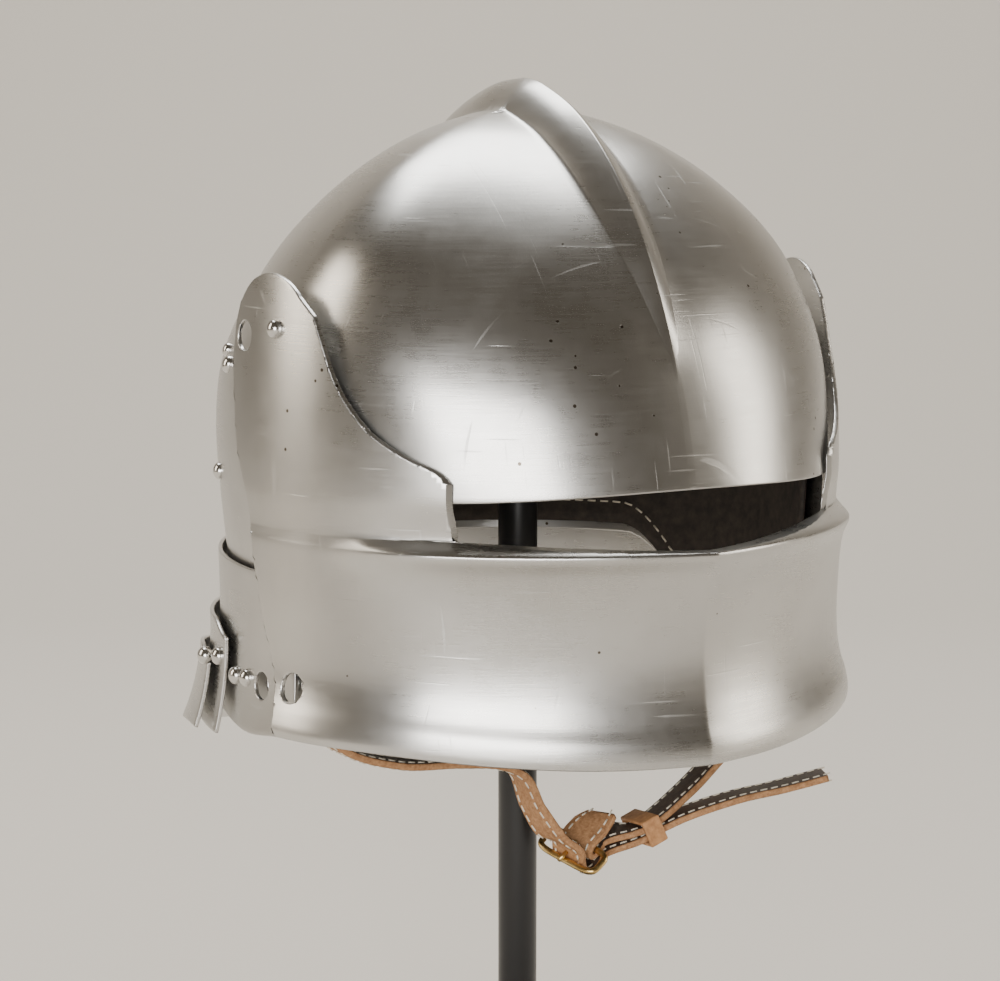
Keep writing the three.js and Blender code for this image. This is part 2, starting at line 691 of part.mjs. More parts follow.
function lameRows(index) {
  const lame = LAMES[index];
  const start = Math.acos(lame.start);
  const columns = 22;
  const rowCount = 5;
  const rows = [];
  for (let r = 0; r <= rowCount; r += 1) {
    const points = [];
    for (let c = 0; c <= columns; c += 1) {
      const share = mix(-1, 1, c / columns);
      const toNape = smoothStep(0, TAIL.sideShare, 1 - Math.abs(share));
      const corner = TAIL.cornerDrop * smoothStep(TAIL.cornerShare, 1, Math.abs(share));
      const side = mix(lame.lowSide, lame.lowFront, smoothStep(TAIL.frontShare, 1, Math.abs(share)));
      const low = TAIL.top * mix(side, lame.lowNape, toNape);
      const high = TAIL.top * mix(lame.topSide, lame.topNape, toNape) - corner;
      points.push(tailPoint(index, share * start, mix(high, low, r / rowCount)));
    }
    rows.push(points);
  }
  return rows;
}

LAMES.forEach((lame, index) => {
  const holes = rivetHoles(...lamePlace(lame));
  if (index + 1 < LAMES.length) {
    holes.push(...rivetHoles(...lamePlace(LAMES[index + 1])));
  }
  if (index === 0) {
    holes.push(...rivetHoles(...secondRivetPlace), ...acrossHoles(...lameHolePlace, LAME_HOLE.radius, 12));
  }
  addPiece(helmet, `tail_lame_${index + 1}`, cut(plate(lameRows(index), TAIL.wall), holes), 'steel');
});

// Rivets: a domed head on a shank, with a burr inside the innermost plate. A pin is a rivet whose
// head stands on a stem.
function rivetGeometry(reach, size = 1, stem = 0, radius = RIVET.head * size, dome = RIVET.rise * size) {
  const profile = [
    new THREE.Vector2(0, -reach - RIVET.tailRise),
    new THREE.Vector2(RIVET.tail, -reach),
    new THREE.Vector2(RIVET.shank, -reach),
    new THREE.Vector2(RIVET.shank, 0),
    new THREE.Vector2(radius, 0),
  ];
  if (stem > 0) {
    profile.push(new THREE.Vector2(radius, stem));
  }
  profile.push(
    new THREE.Vector2(radius * 0.72, stem + dome * 0.7),
    new THREE.Vector2(0, stem + dome),
  );
  return new THREE.LatheGeometry(profile, RIVET.sides);
}

// Distance from the middle plane of a piece's outer face at a side: the greatest and the least
// over the reach of a rivet's head
function faceSpan(surface, back, height, radius) {
  const values = [surface(back, height)];
  for (let i = 0; i < 8; i += 1) {
    const angle = (i / 8) * 2 * Math.PI;
    values.push(surface(back + radius * Math.cos(angle), height + radius * Math.sin(angle)));
  }
  return { most: Math.max(...values), least: Math.min(...values) };
}

function skullSurface(back, height) {
  const { level, angle } = skullPlace(back, height);
  return domePoint(angle, level).x;
}

function visorSurface(back, height, out) {
  const cosine = Math.min(Math.abs(back) / VISOR.front, 1) ** (VISOR.squareness / 2);
  return visorPoint(Math.acos(cosine), height, out).x;
}

const armSurface = (back, height) => visorSurface(back, height, armOut(height));
const waistSurface = (back, height) => visorSurface(back, height, 0);

function lameSurface(index) {
  return (back, height) => {
    const level = placeOf(TAIL_LEVELS, 'height', height / TAIL.top);
    const length = TAIL.back * smoothColumn(TAIL_LEVELS, 'back', level) + lameStandOff(index, height);
    return tailPoint(index, Math.acos(back / length), height).x;
  };
}

// A rivet along X through an outer and an inner plate, on both sides
function addSideRivets(name, [back, height], outer, inner, innerWall, slack) {
  const seat = faceSpan(outer, back, height, RIVET.head).most + SEAT_GAP;
  const inside = faceSpan(inner, back, height, RIVET.tail).least - innerWall - slack;
  Object.entries(SIDES).forEach(([side, sign]) => {
    const place = new THREE.Vector3(sign * seat, back, height);
    const geometry = standOn(rivetGeometry(seat - inside), place, new THREE.Vector3(sign, 0, 0));
    addPiece(helmet, `${name}_${side}`, geometry, 'rivet');
  });
}

addSideRivets(
  'visor_pivot', [-VISOR.pivotForward, VISOR.pivotHeight], armSurface, skullSurface, STEEL_WALL, RIVET.slack,
);
addSideRivets('lame_rivet_front', lamePlace(LAMES[0]), lameSurface(0), skullSurface, STEEL_WALL, RIVET.slack);
addSideRivets('lame_rivet_rear', secondRivetPlace, lameSurface(0), skullSurface, STEEL_WALL, RIVET.slack);
addSideRivets('lame_pivot_2', lamePlace(LAMES[1]), lameSurface(1), lameSurface(0), TAIL.wall, SEAT_GAP);
addSideRivets('lame_pivot_3', lamePlace(LAMES[2]), lameSurface(2), lameSurface(1), TAIL.wall, SEAT_GAP);

skullRivetSeats.forEach(({ name, size, point, out }) => {
  const place = point.clone().addScaledVector(out, SEAT_GAP);
  const reach = STEEL_WALL + SEAT_GAP + RIVET.slack;
  addPiece(helmet, name, standOn(rivetGeometry(reach, size), place, out), 'rivet');
});

// Catch pins: plain pins on the skull that show in the visor's front holes
const catchPlace = [-VISOR.catchForward, VISOR.catchHeight];
const catchSeat = faceSpan(skullSurface, ...catchPlace, CATCH_PIN.radius);
const bandFace = faceSpan(waistSurface, ...catchPlace, CATCH_PIN.radius).least - STEEL_WALL;
Object.entries(SIDES).forEach(([side, sign]) => {
  const seat = catchSeat.most + SEAT_GAP;
  const reach = seat - catchSeat.least + STEEL_WALL + RIVET.slack;
  const stem = bandFace - SEAT_GAP - CATCH_PIN.dome - seat;
  const place = new THREE.Vector3(sign * seat, ...catchPlace);
  const pin = rivetGeometry(reach, 1, stem, CATCH_PIN.radius, CATCH_PIN.dome);
  addPiece(helmet, `catch_pin_${side}`, standOn(pin, place, new THREE.Vector3(sign, 0, 0)), 'rivet');
});

// Lining: a leather band held inside the skull by its rivets
function liningRows() {
  const columns = 22;
  const rowCount = 3;
  const inset = STEEL_WALL + LINING.gap;
  const rows = [];
  for (let r = 0; r <= rowCount; r += 1) {
    const points = [];
    for (let c = 0; c <= columns; c += 1) {
      const degrees = mix(LINING.start, 360 - LINING.start, c / columns);
      const fromBrow = Math.min(degrees, 360 - degrees);
      const low = Math.max(LINING.low, rimHeight(fromBrow) + LINING.aboveRim);
      const level = placeOf(DOME_LEVELS, 'height', mix(low, LINING.top, r / rowCount) / SKULL.crown);
      const point = domePoint(THREE.MathUtils.degToRad(fromBrow), level, inset);
      points.push(point.setX(degrees > 180 ? -point.x : point.x));
    }
    rows.push(points);
  }
  return rows;
}

addPiece(helmet, 'lining', plate(liningRows(), LINING.wall), 'leather');

// Chin strap: two leather ribbons, joined by a buckle and held together by a keeper.

// The buckle's axes: along its bars, from the outer to the inner bar, and up out of the frame
const alongBar = new THREE.Vector3(0.39, -0.89, -0.29).normalize();
const acrossBars = new THREE.Vector3(0.9, 0, 0.42);
acrossBars.addScaledVector(alongBar, -acrossBars.dot(alongBar)).normalize();
const outOfFrame = alongBar.clone().cross(acrossBars).normalize();

function bucklePoint(across, up, along = 0) {
  return new THREE.Vector3().copy(BUCKLE.centre)
    .addScaledVector(acrossBars, across)
    .addScaledVector(outOfFrame, up)
    .addScaledVector(alongBar, along);
}

// The keeper's axes: along the strands, across their width, and out of the upper one
const alongStrand = new THREE.Vector3(0.925, -0.06, 0.375).normalize();
const strandWide = new THREE.Vector3(-0.34, -0.94, 0.01);
strandWide.addScaledVector(alongStrand, -strandWide.dot(alongStrand)).normalize();
const outOfStrand = strandWide.clone().cross(alongStrand).normalize();

function keeperPoint(along, up) {
  return new THREE.Vector3().copy(KEEPER.centre)
    .addScaledVector(alongStrand, along)
    .addScaledVector(outOfStrand, up);
}

const strandOffset = (STRAP.thickness + KEEPER.strandGap) / 2;
const foldRadius = BUCKLE.bar + BUCKLE.clearance + STRAP.thickness / 2;

const strapSeat = faceSpan(skullSurface, -STRAP.forward, STRAP.rivetHeight, RIVET.head);
const strapRivetEnd = strapSeat.least - STEEL_WALL - RIVET.slack - RIVET.tailRise;
const strapHalfSpan = strapRivetEnd - 2 * SEAT_GAP - STRAP.thickness / 2;

function strapPlace({ across, forward, down, turn }) {
  const at = new THREE.Vector3(strapHalfSpan * across, -STRAP.forward * forward, -STRAP.drop * down);
  const angle = THREE.MathUtils.degToRad(turn ?? 0);
  const wide = turn === undefined ? strandWide : new THREE.Vector3(-Math.sin(angle), -Math.cos(angle), 0);
  return { at, wide };
}

function inKeeper(side) {
  return [-1, 1].map((end) => ({
    at: keeperPoint(end * KEEPER.reach * KEEPER.length, side * strandOffset),
    wide: strandWide,
  }));
}

// A ribbon of the strap's width and thickness along a smooth route
function ribbon(places, stepsPerSpan) {
  const route = new THREE.CatmullRomCurve3(places.map(({ at }) => at), false, 'centripetal');
  const steps = (places.length - 1) * stepsPerSpan;
  const points = [];
  for (let i = 0; i <= steps; i += 1) {
    const t = i / steps;
    const place = t * (places.length - 1);
    const index = Math.min(Math.floor(place), places.length - 2);
    const at = route.getPoint(t);
    const along = route.getTangent(t);
    const wide = places[index].wide.clone().lerp(places[index + 1].wide, place - index);
    wide.addScaledVector(along, -wide.dot(along)).normalize();
    const out = wide.clone().cross(along).normalize();
    [[1, 1], [-1, 1], [-1, -1], [1, -1]].forEach(([w, o]) => points.push(
      at.clone().addScaledVector(wide, w * STRAP.width / 2).addScaledVector(out, o * STRAP.thickness / 2),
    ));
  }
  const triangles = [0, 1, 2, 0, 2, 3];
  for (let i = 0; i < steps; i += 1) {
    for (let k = 0; k < 4; k += 1) {
      const a = 4 * i + k;
      const b = 4 * i + ((k + 1) % 4);
      triangles.push(a, a + 4, b + 4, a, b + 4, b);
    }
  }
  const last = 4 * steps;
  triangles.push(last, last + 2, last + 1, last, last + 3, last + 2);
  const geometry = new THREE.BufferGeometry();
  geometry.setAttribute('position', new THREE.Float32BufferAttribute(points.flatMap((p) => p.toArray()), 3));
  geometry.setIndex(triangles);
  return geometry;
}

// Where the right strap crosses the frame, beside the outer bar, and how low it turns
const crossing = BUCKLE.bar + STRAP.clearance + STRAP.thickness / 2;
const turnBelow = foldRadius + STRAP.thickness + STRAP.clearance;

const rightPlaces = [
  ...RIGHT_STRAP.map(strapPlace),
  ...THROUGH_BUCKLE.map(({ across, up, from }) => ({
    at: bucklePoint(crossing + BUCKLE.depth * across, BUCKLE.depth * up - (from === 'fold' ? turnBelow : 0)),
    wide: alongBar,
  })),
  ...inKeeper(-1),
  ...FREE_END.map(strapPlace),
];

function foldPlace({ past, up, turn }) {
  const angle = THREE.MathUtils.degToRad(turn ?? 0);
  const at = turn === undefined
    ? bucklePoint(BUCKLE.depth * (1 + past), foldRadius * up)
    : bucklePoint(BUCKLE.depth + foldRadius * Math.cos(angle), foldRadius * Math.sin(angle));
  return { at, wide: past > 1 ? alongBar.clone().lerp(strandWide, 0.7) : alongBar };
}

const leftPlaces = [
  ...LEFT_STRAP.map(strapPlace),
  ...inKeeper(1).reverse(),
  ...FOLD.map(foldPlace),
];

// The tongue lies over the outer bar and passes through both straps
function tongueRod(radius, extra = 0) {
  const over = BUCKLE.bar + BUCKLE.clearance + BUCKLE.tongue;
  const start = bucklePoint(BUCKLE.depth + extra, over);
  const end = bucklePoint(-BUCKLE.tongueOver - extra, over);
  const rod = new THREE.CylinderGeometry(radius, radius, start.distanceTo(end), 6);
  return standOn(rod, start.clone().lerp(end, 0.5), end.clone().sub(start).normalize());
}

const tongueHole = tongueRod(BUCKLE.tongue + BUCKLE.clearance, BUCKLE.clearance);
addPiece(helmet, 'strap_right', cut(ribbon(rightPlaces, 2), [tongueHole]), 'leather');
addPiece(helmet, 'strap_left', cut(ribbon(leftPlaces, 2), [tongueHole]), 'leather');
addPiece(helmet, 'buckle_tongue', tongueRod(BUCKLE.tongue), 'brass');

// The frame is one closed rod round the opening
function buckleGeometry() {
  const half = BUCKLE.length / 2;
  const { corner } = BUCKLE;
  const outline = [
    [0, -half + corner], [0, half - corner], [corner, half],
    [BUCKLE.depth - corner, half], [BUCKLE.depth, half - corner], [BUCKLE.depth, -half + corner],
    [BUCKLE.depth - corner, -half], [corner, -half],
  ];
  const middles = outline.map(([across, along]) => bucklePoint(across, 0, along));
  const sides = 6;
  const points = [];
  middles.forEach((middle, i) => {
    const before = middles[(i + middles.length - 1) % middles.length];
    const after = middles[(i + 1) % middles.length];
    const toBefore = before.clone().sub(middle).normalize();
    const toAfter = after.clone().sub(middle).normalize();
    const inward = toBefore.clone().add(toAfter).normalize();
    const bend = toBefore.angleTo(inward);
    for (let k = 0; k < sides; k += 1) {
      const angle = (k / sides) * 2 * Math.PI;
      points.push(middle.clone()
        .addScaledVector(inward, BUCKLE.bar * Math.cos(angle) / Math.sin(bend))
        .addScaledVector(outOfFrame, BUCKLE.bar * Math.sin(angle)));
    }
  });
  const triangles = [];
  middles.forEach((middle, i) => {
    const next = (i + 1) % middles.length;
    for (let k = 0; k < sides; k += 1) {
      const a = sides * i + k;
      const b = sides * i + ((k + 1) % sides);
      const c = sides * next + k;
      const d = sides * next + ((k + 1) % sides);
      triangles.push(a, b, d, a, d, c);
    }
  });
  const geometry = new THREE.BufferGeometry();
  geometry.setAttribute('position', new THREE.Float32BufferAttribute(points.flatMap((p) => p.toArray()), 3));
  geometry.setIndex(triangles);
  return geometry;
}

addPiece(helmet, 'buckle', buckleGeometry(), 'brass');

function keeperGeometry() {
  const halfWide = STRAP.width / 2 + KEEPER.clearance;
  const halfHigh = strandOffset + STRAP.thickness / 2 + KEEPER.clearance;
  const box = (wide, high) => [[-wide, -high], [wide, -high], [wide, high], [-wide, high]]
    .map(([x, y]) => new THREE.Vector2(x, y));
  const shape = new THREE.Shape(box(halfWide + KEEPER.wall, halfHigh + KEEPER.wall));
  shape.holes.push(new THREE.Path(box(halfWide, halfHigh)));
  const loop = new THREE.ExtrudeGeometry(shape, { depth: KEEPER.length, bevelEnabled: false });
  loop.translate(0, 0, -KEEPER.length / 2);
  const { x, y, z } = KEEPER.centre;
  const along = strandWide.clone().cross(outOfStrand);
  loop.applyMatrix4(new THREE.Matrix4().makeBasis(strandWide, outOfStrand, along));
  loop.translate(x, y, z);
  loop.deleteAttribute('normal');
  loop.deleteAttribute('uv');
  return mergeVertices(loop, 1e-4);
}

addPiece(helmet, 'keeper', keeperGeometry(), 'keeper');

// Strap rivets: plain pins that hold the strap's ends against the skull's inner face
const strapRivetSeat = strapSeat.most + SEAT_GAP;
const strapRivetReach = strapRivetSeat - strapRivetEnd - RIVET.tailRise;
Object.entries(SIDES).forEach(([side, sign]) => {
  const place = new THREE.Vector3(sign * strapRivetSeat, -STRAP.forward, STRAP.rivetHeight);
  const pin = rivetGeometry(strapRivetReach, 1, 0, RIVET.head, STRAP.rivetRise);
  addPiece(helmet, `strap_rivet_${side}`, standOn(pin, place, new THREE.Vector3(sign, 0, 0)), 'rivet');
});

// Stand: a round base, a pole on the frame's Z axis and a pad that carries the crown.
function turned(points, sides) {
  const solid = new THREE.LatheGeometry(points.map(([x, y]) => new THREE.Vector2(x, y)), sides);
  solid.rotateX(Math.PI / 2);
  return solid;
}

const innerCrown = BASE_TO_HEM + SKULL.crown - STEEL_WALL;
const padTop = innerCrown - STAND.padGap;
const padBottom = padTop - STAND.padHeight;
addPiece(group, 'stand_base', turned([
  [0, 0], [STAND.baseRadius, 0], [STAND.baseRadius, STAND.baseHeight - STAND.baseEdge],
  [STAND.baseRadius - STAND.baseEdge, STAND.baseHeight], [0, STAND.baseHeight],
], 24), 'stand');
addPiece(group, 'stand_pole', turned([
  [0, STAND.baseHeight + SEAT_GAP], [STAND.poleRadius, STAND.baseHeight + SEAT_GAP],
  [STAND.poleRadius, padBottom - SEAT_GAP], [0, padBottom - SEAT_GAP],
], 14), 'stand');
const padDome = [1, 0.8, 0.5, 0].map((share) => (
  [STAND.padRadius * share, padTop - STAND.padDrop * share ** 2]
));
addPiece(group, 'stand_pad', turned([
  [0, padBottom], [STAND.padFoot, padBottom], [STAND.padRadius, padBottom + STAND.padHeight / 4],
  ...padDome,
], 16), 'stand');

group.updateMatrixWorld(true);
export default group;
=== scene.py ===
import bpy
import bmesh
import math
import numpy as np
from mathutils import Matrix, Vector


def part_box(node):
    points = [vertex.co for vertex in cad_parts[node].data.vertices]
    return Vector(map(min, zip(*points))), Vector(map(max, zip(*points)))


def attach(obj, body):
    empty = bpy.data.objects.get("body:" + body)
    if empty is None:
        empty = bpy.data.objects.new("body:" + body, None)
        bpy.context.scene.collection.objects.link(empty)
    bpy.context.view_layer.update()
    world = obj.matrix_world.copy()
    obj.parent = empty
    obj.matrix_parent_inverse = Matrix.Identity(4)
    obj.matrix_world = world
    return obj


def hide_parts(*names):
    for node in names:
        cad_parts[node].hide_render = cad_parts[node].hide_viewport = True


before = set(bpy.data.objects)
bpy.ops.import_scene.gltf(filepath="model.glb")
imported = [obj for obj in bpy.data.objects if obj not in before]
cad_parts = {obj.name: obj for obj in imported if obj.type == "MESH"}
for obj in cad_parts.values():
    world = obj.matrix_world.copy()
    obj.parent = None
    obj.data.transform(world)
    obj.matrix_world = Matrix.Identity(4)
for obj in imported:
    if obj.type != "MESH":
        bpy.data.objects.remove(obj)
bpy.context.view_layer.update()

# Polished steel, the finish of every plate: bare metal with a fine level grain, faint clouds from
# hand polishing, thin random scratches and a few dark pits.


class Value:
    """A node socket. Maths on it is written as a Python expression."""

    def __init__(self, tree, socket):
        self.tree = tree
        self.socket = socket

    def node(self, kind, inputs=None, output=0, **settings):
        """Adds any node, with its inputs by name or number and its settings by name."""
        made = self.tree.nodes.new(kind)
        for name, value in settings.items():
            setattr(made, name, value)
        for name, value in (inputs or {}).items():
            if isinstance(value, Value):
                self.tree.links.new(value.socket, made.inputs[name])
            else:
                made.inputs[name].default_value = value
        return Value(self.tree, made.outputs[output])

    def maths(self, operation, first, second=0.0, clamp=False):
        return self.node("ShaderNodeMath", {0: first, 1: second}, operation=operation, use_clamp=clamp)

    def __add__(self, other):
        return self.maths("ADD", self, other)

    def __radd__(self, other):
        return self.maths("ADD", other, self)

    def __sub__(self, other):
        return self.maths("SUBTRACT", self, other)

    def __rsub__(self, other):
        return self.maths("SUBTRACT", other, self)

    def __mul__(self, other):
        return self.maths("MULTIPLY", self, other)

    def __rmul__(self, other):
        return self.maths("MULTIPLY", other, self)

    def __truediv__(self, other):
        return self.maths("DIVIDE", self, other)

    def __gt__(self, other):
        return self.maths("GREATER_THAN", self, other)

    def __lt__(self, other):
        return self.maths("LESS_THAN", self, other)

    def ramp(self, low, high):
        """From 0 at low to 1 at high, held beyond them."""
        return self.node("ShaderNodeMapRange", {"Value": self, "From Min": low, "From Max": high})

    def stretched(self, x, y, z, turn=(0.0, 0.0, 0.0)):
        """A place scaled along each axis after a turn in radians."""
        return self.node("ShaderNodeMapping", {"Vector": self, "Rotation": turn, "Scale": (x, y, z)})

    def noise(self, scale, detail=2.0, roughness=0.5):
        inputs = {"Vector": self, "Scale": scale, "Detail": detail, "Roughness": roughness}
        return self.node("ShaderNodeTexNoise", inputs, "Fac")

    def between(self, low, high):
        """The colour between two colours at this share."""
        inputs = {0: self, 6: (*low, 1.0), 7: (*high, 1.0)}
        return self.node("ShaderNodeMix", inputs, 2, data_type="RGBA")

    def to(self, shader, name):
        self.tree.links.new(self.socket, shader.inputs[name])


def new_material(name, colour, metallic, roughness):
    material = bpy.data.materials.new(name)
    material.use_nodes = True
    tree = material.node_tree
    shader = tree.nodes["Principled BSDF"]
    shader.inputs["Base Color"].default_value = (*colour, 1.0)
    shader.inputs["Metallic"].default_value = metallic
    shader.inputs["Roughness"].default_value = roughness
    place = Value(tree, tree.nodes.new("ShaderNodeTexCoord").outputs["Object"])
    return material, shader, place


def bump(height, shader, strength, distance):
    """Turns a height into the shader's normal; the distance is in metres."""
    inputs = {"Strength": strength, "Distance": distance, "Height": height}
    height.node("ShaderNodeBump", inputs).to(shader, "Normal")


steel, shader, place = new_material("polished steel", (0.6, 0.59, 0.57), 1.0, 0.2)
grain = place.stretched(60, 60, 1700).noise(1.0, 3.0)
cross_grain = place.stretched(1500, 60, 90, (0.0, 0.5, 0.4)).noise(1.0, 2.0)
cloud = place.noise(14.0, 4.0, 0.6)
fine_cloud = place.noise(160.0, 3.0, 0.6)
scratch_a = place.stretched(900, 22, 22, (0.3, 0.7, 0.2)).noise(1.0, 1.0).ramp(0.71, 0.75)
scratch_b = place.stretched(25, 700, 30, (0.9, 0.2, 0.6)).noise(1.0, 1.0).ramp(0.72, 0.76)
scratch_c = place.stretched(30, 30, 800, (0.25, 0.1, 0.0)).noise(1.0, 1.0).ramp(0.71, 0.75)
scratches = (scratch_a + scratch_b + scratch_c) * place.noise(30.0).ramp(0.45, 0.6)
pit_place = place.node("ShaderNodeTexVoronoi", {"Vector": place, "Scale": 120.0}, "Distance")
pits = (pit_place < 0.075) * (place.noise(18.0, 1.0) > 0.56)
(0.17 + cloud * 0.12 + grain * 0.07 + fine_cloud * 0.05 + scratches * 0.1).to(shader, "Roughness")
tone = cloud.ramp(0.3, 0.7).between((0.55, 0.54, 0.52), (0.66, 0.655, 0.64))
dark = pits.node("ShaderNodeMix", {0: pits, 6: tone, 7: (0.12, 0.1, 0.08, 1.0)}, 2, data_type="RGBA")
dark.to(shader, "Base Color")
bump(grain * 0.5 + cross_grain * 0.2 + cloud * 0.25 - scratches * 0.7 - pits * 2.0, shader, 0.35, 0.00008)

# Skull: the raised shell with its comb. The levels repeat the solid's shares, the grid is finer, and
# the comb's flanks have closely set columns so that its crest and foot stay crisp.
SKULL = {
    "half_width": 114.4, "front": 118.0, "back": 129.0, "crown": 218.0, "wall": 2.0,
    "brow": 87.5, "brow_corner": 84.0, "side_rim": 4.0, "nape_rim": 42.0,
    "cheek_start": 52.0, "cheek_end": 66.0, "nape_start": 100.0, "nape_end": 126.0,
    "comb_rise": 11.0, "comb_half": 12.5,
}
DOME_LEVELS = {
    "height": (0.00, 0.18, 0.34, 0.46, 0.57, 0.67, 0.78, 0.88, 0.95, 0.99, 1.00),
    "width": (0.96, 0.97, 0.99, 1.00, 0.99, 0.93, 0.81, 0.61, 0.39, 0.17, 0.00),
    "front": (1.00, 1.00, 0.99, 0.95, 0.89, 0.80, 0.65, 0.46, 0.27, 0.09, 0.00),
    "back": (0.86, 0.88, 0.96, 1.00, 0.96, 0.86, 0.72, 0.55, 0.37, 0.17, 0.00),
    "broad": (0.00, 0.00, 0.01, 0.03, 0.06, 0.10, 0.135, 0.125, 0.09, 0.045, 0.00),
    "crest_front": (0.00, 0.00, 0.00, 0.00, 0.00, 0.16, 0.50, 0.80, 0.95, 1.00, 1.00),
    "crest_back": (0.00, 0.00, 0.00, 0.06, 0.20, 0.40, 0.62, 0.82, 0.95, 1.00, 1.00),
}
HELMET_PLACE = np.array([0.0, -4.4, 200.0])
MM = 0.001


def smooth_curve(values, at):
    """A smooth curve through evenly numbered values, read at any places between them."""
    values = np.asarray(values, float)
    last = len(values) - 1
    at = np.clip(np.asarray(at, float), 0, last)
    index = np.minimum(np.floor(at).astype(int), last - 1)
    t = at - index
    p1, p2 = values[index], values[index + 1]
    p0 = np.where(index > 0, values[np.maximum(index - 1, 0)], 2 * p1 - p2)
    p3 = np.where(index + 2 <= last, values[np.minimum(index + 2, last)], 2 * p2 - p1)
    bend = 2 * p0 - 5 * p1 + 4 * p2 - p3
    return p1 + 0.5 * t * (p2 - p0 + t * (bend + t * (3 * (p1 - p2) + p3 - p0)))


def smooth_step(low, high, value):
    t = np.clip((np.asarray(value, float) - low) / (high - low), 0, 1)
    return t * t * (3 - 2 * t)


def level_of(heights, share):
    """Where a rising column of heights reaches a share."""
    fine = np.linspace(0, len(heights) - 1, 3001)
    return np.interp(share, smooth_curve(heights, fine), fine)


def dome_points(angle, level, inset=0.0):
    """Points of the dome without its comb, at angles from the brow in radians."""
    width = SKULL["half_width"] * smooth_curve(DOME_LEVELS["width"], level) - inset
    broad = SKULL["front"] * smooth_curve(DOME_LEVELS["broad"], level)
    front = SKULL["front"] * smooth_curve(DOME_LEVELS["front"], level) - broad
    back = SKULL["back"] * smooth_curve(DOME_LEVELS["back"], level) + broad
    length = np.where(np.cos(angle) > 0, front, back) - inset
    height = SKULL["crown"] * smooth_curve(DOME_LEVELS["height"], level)
    return np.stack([width * np.sin(angle), -length * np.cos(angle) - broad, height], -1)


def comb_at(level, ahead):
    share = np.maximum(smooth_curve(DOME_LEVELS["crest_front" if ahead else "crest_back"], level), 0)
    half = SKULL["comb_half"] * (0.1 + 0.9 * np.sqrt(np.minimum(share, 1)))
    return SKULL["comb_rise"] * share, half


def flank(t):
    """The comb's convex flank, from the crest down to a soft foot."""
    return np.where(t < 1, (1 - t) * (1 + 0.5 * t), 0)


def rim_height(degrees):
    drop = SKULL["brow_corner"] - SKULL["brow"]
    brow = SKULL["brow"] + drop * smooth_step(0, SKULL["cheek_start"], degrees)
    to_side = smooth_step(SKULL["cheek_start"], SKULL["cheek_end"], degrees)
    cheek = brow + (SKULL["side_rim"] - brow) * to_side
    return cheek + (SKULL["nape_rim"] - cheek) * smooth_step(SKULL["nape_start"], SKULL["nape_end"], degrees)


def skull_grid():
    top = len(DOME_LEVELS["height"]) - 1
    shares = np.array([0, 0.03, 0.08, 0.16, 0.28, 0.42, 0.56, 0.7, 0.82, 0.91, 0.97, 1.0, 1.04, 1.12])
    side_count = 72
    rows = []
    for share in np.linspace(0, 1, 96, endpoint=False):
        level = 2 + (top - 2) * share
        width = max(SKULL["half_width"] * float(smooth_curve(DOME_LEVELS["width"], level)), 1)
        front = np.arcsin(shares * min(comb_at(level, True)[1] / width, 0.85))
        back = math.pi - np.arcsin(shares * min(comb_at(level, False)[1] / width, 0.85))[::-1]
        sides = np.linspace(front[-1], back[0], side_count + 1)[1:-1]
        angles = np.concatenate([front, sides, back])
        rim = level_of(DOME_LEVELS["height"], rim_height(np.degrees(angles)) / SKULL["crown"])
        levels = rim + (top - rim) * share
        points = dome_points(angles, levels)
        for ahead in (True, False):
            chosen = (angles < math.pi / 2) == ahead
            rise, half = comb_at(levels[chosen], ahead)
            middle = 0.0 if ahead else math.pi
            low = dome_points(middle, np.maximum(levels[chosen] - 0.05, 0))
            high = dome_points(middle, np.minimum(levels[chosen] + 0.05, top))
            along = (high - low) / np.linalg.norm(high - low, axis=-1, keepdims=True)
            up_y = -along[:, 2] if ahead else along[:, 2]
            normal = np.stack([0 * up_y, up_y, np.abs(along[:, 1])], -1)
            points[chosen] += normal * (rise * flank(np.abs(points[chosen][:, 0]) / half))[:, None]
        mirrored = points[1:-1][::-1] * np.array([-1.0, 1.0, 1.0])
        rows.append(np.concatenate([points, mirrored]))
    return np.array(rows)


def mesh_object(name, points, faces, materials):
    mesh = bpy.data.meshes.new(name)
    mesh.from_pydata([tuple(p) for p in np.asarray(points) * MM], [], faces)
    for material in materials:
        mesh.materials.append(material)
    mesh.update()
    made = bpy.data.objects.new(name, mesh)
    bpy.context.scene.collection.objects.link(made)
    return made


def plate_object(name, grid, wall, materials, closed=False, apex=None):
    """A plate of even wall inside a grid of points on its outer face."""
    row_count, columns = grid.shape[:2]
    spans = columns if closed else columns - 1
    faces = []
    for r in range(row_count - 1):
        for c in range(spans):
            a = r * columns + c
            b = r * columns + (c + 1) % columns
            faces.append((a, b, b + columns, a + columns))
    points = grid.reshape(-1, 3)
    if apex is not None:
        last = (row_count - 1) * columns
        faces += [(last + c, last + (c + 1) % columns, len(points)) for c in range(spans)]
        points = np.vstack([points, apex])
    outer = bpy.data.meshes.new(name)
    outer.from_pydata([tuple(p) for p in points], [], faces)
    outer.update()
    normals = np.zeros(len(points) * 3, np.float32)
    outer.vertices.foreach_get("normal", normals)
    bpy.data.meshes.remove(outer)
    count = len(points)
    points = np.vstack([points, points - wall * normals.reshape(-1, 3)])
    turned = [tuple(i + count for i in reversed(face)) for face in faces]
    edges = {(face[i], face[(i + 1) % len(face)]) for face in faces for i in range(len(face))}
    rim = [(b, a, a + count, b + count) for a, b in edges if (b, a) not in edges]
    return mesh_object(name, points + HELMET_PLACE, faces + turned + rim, materials)


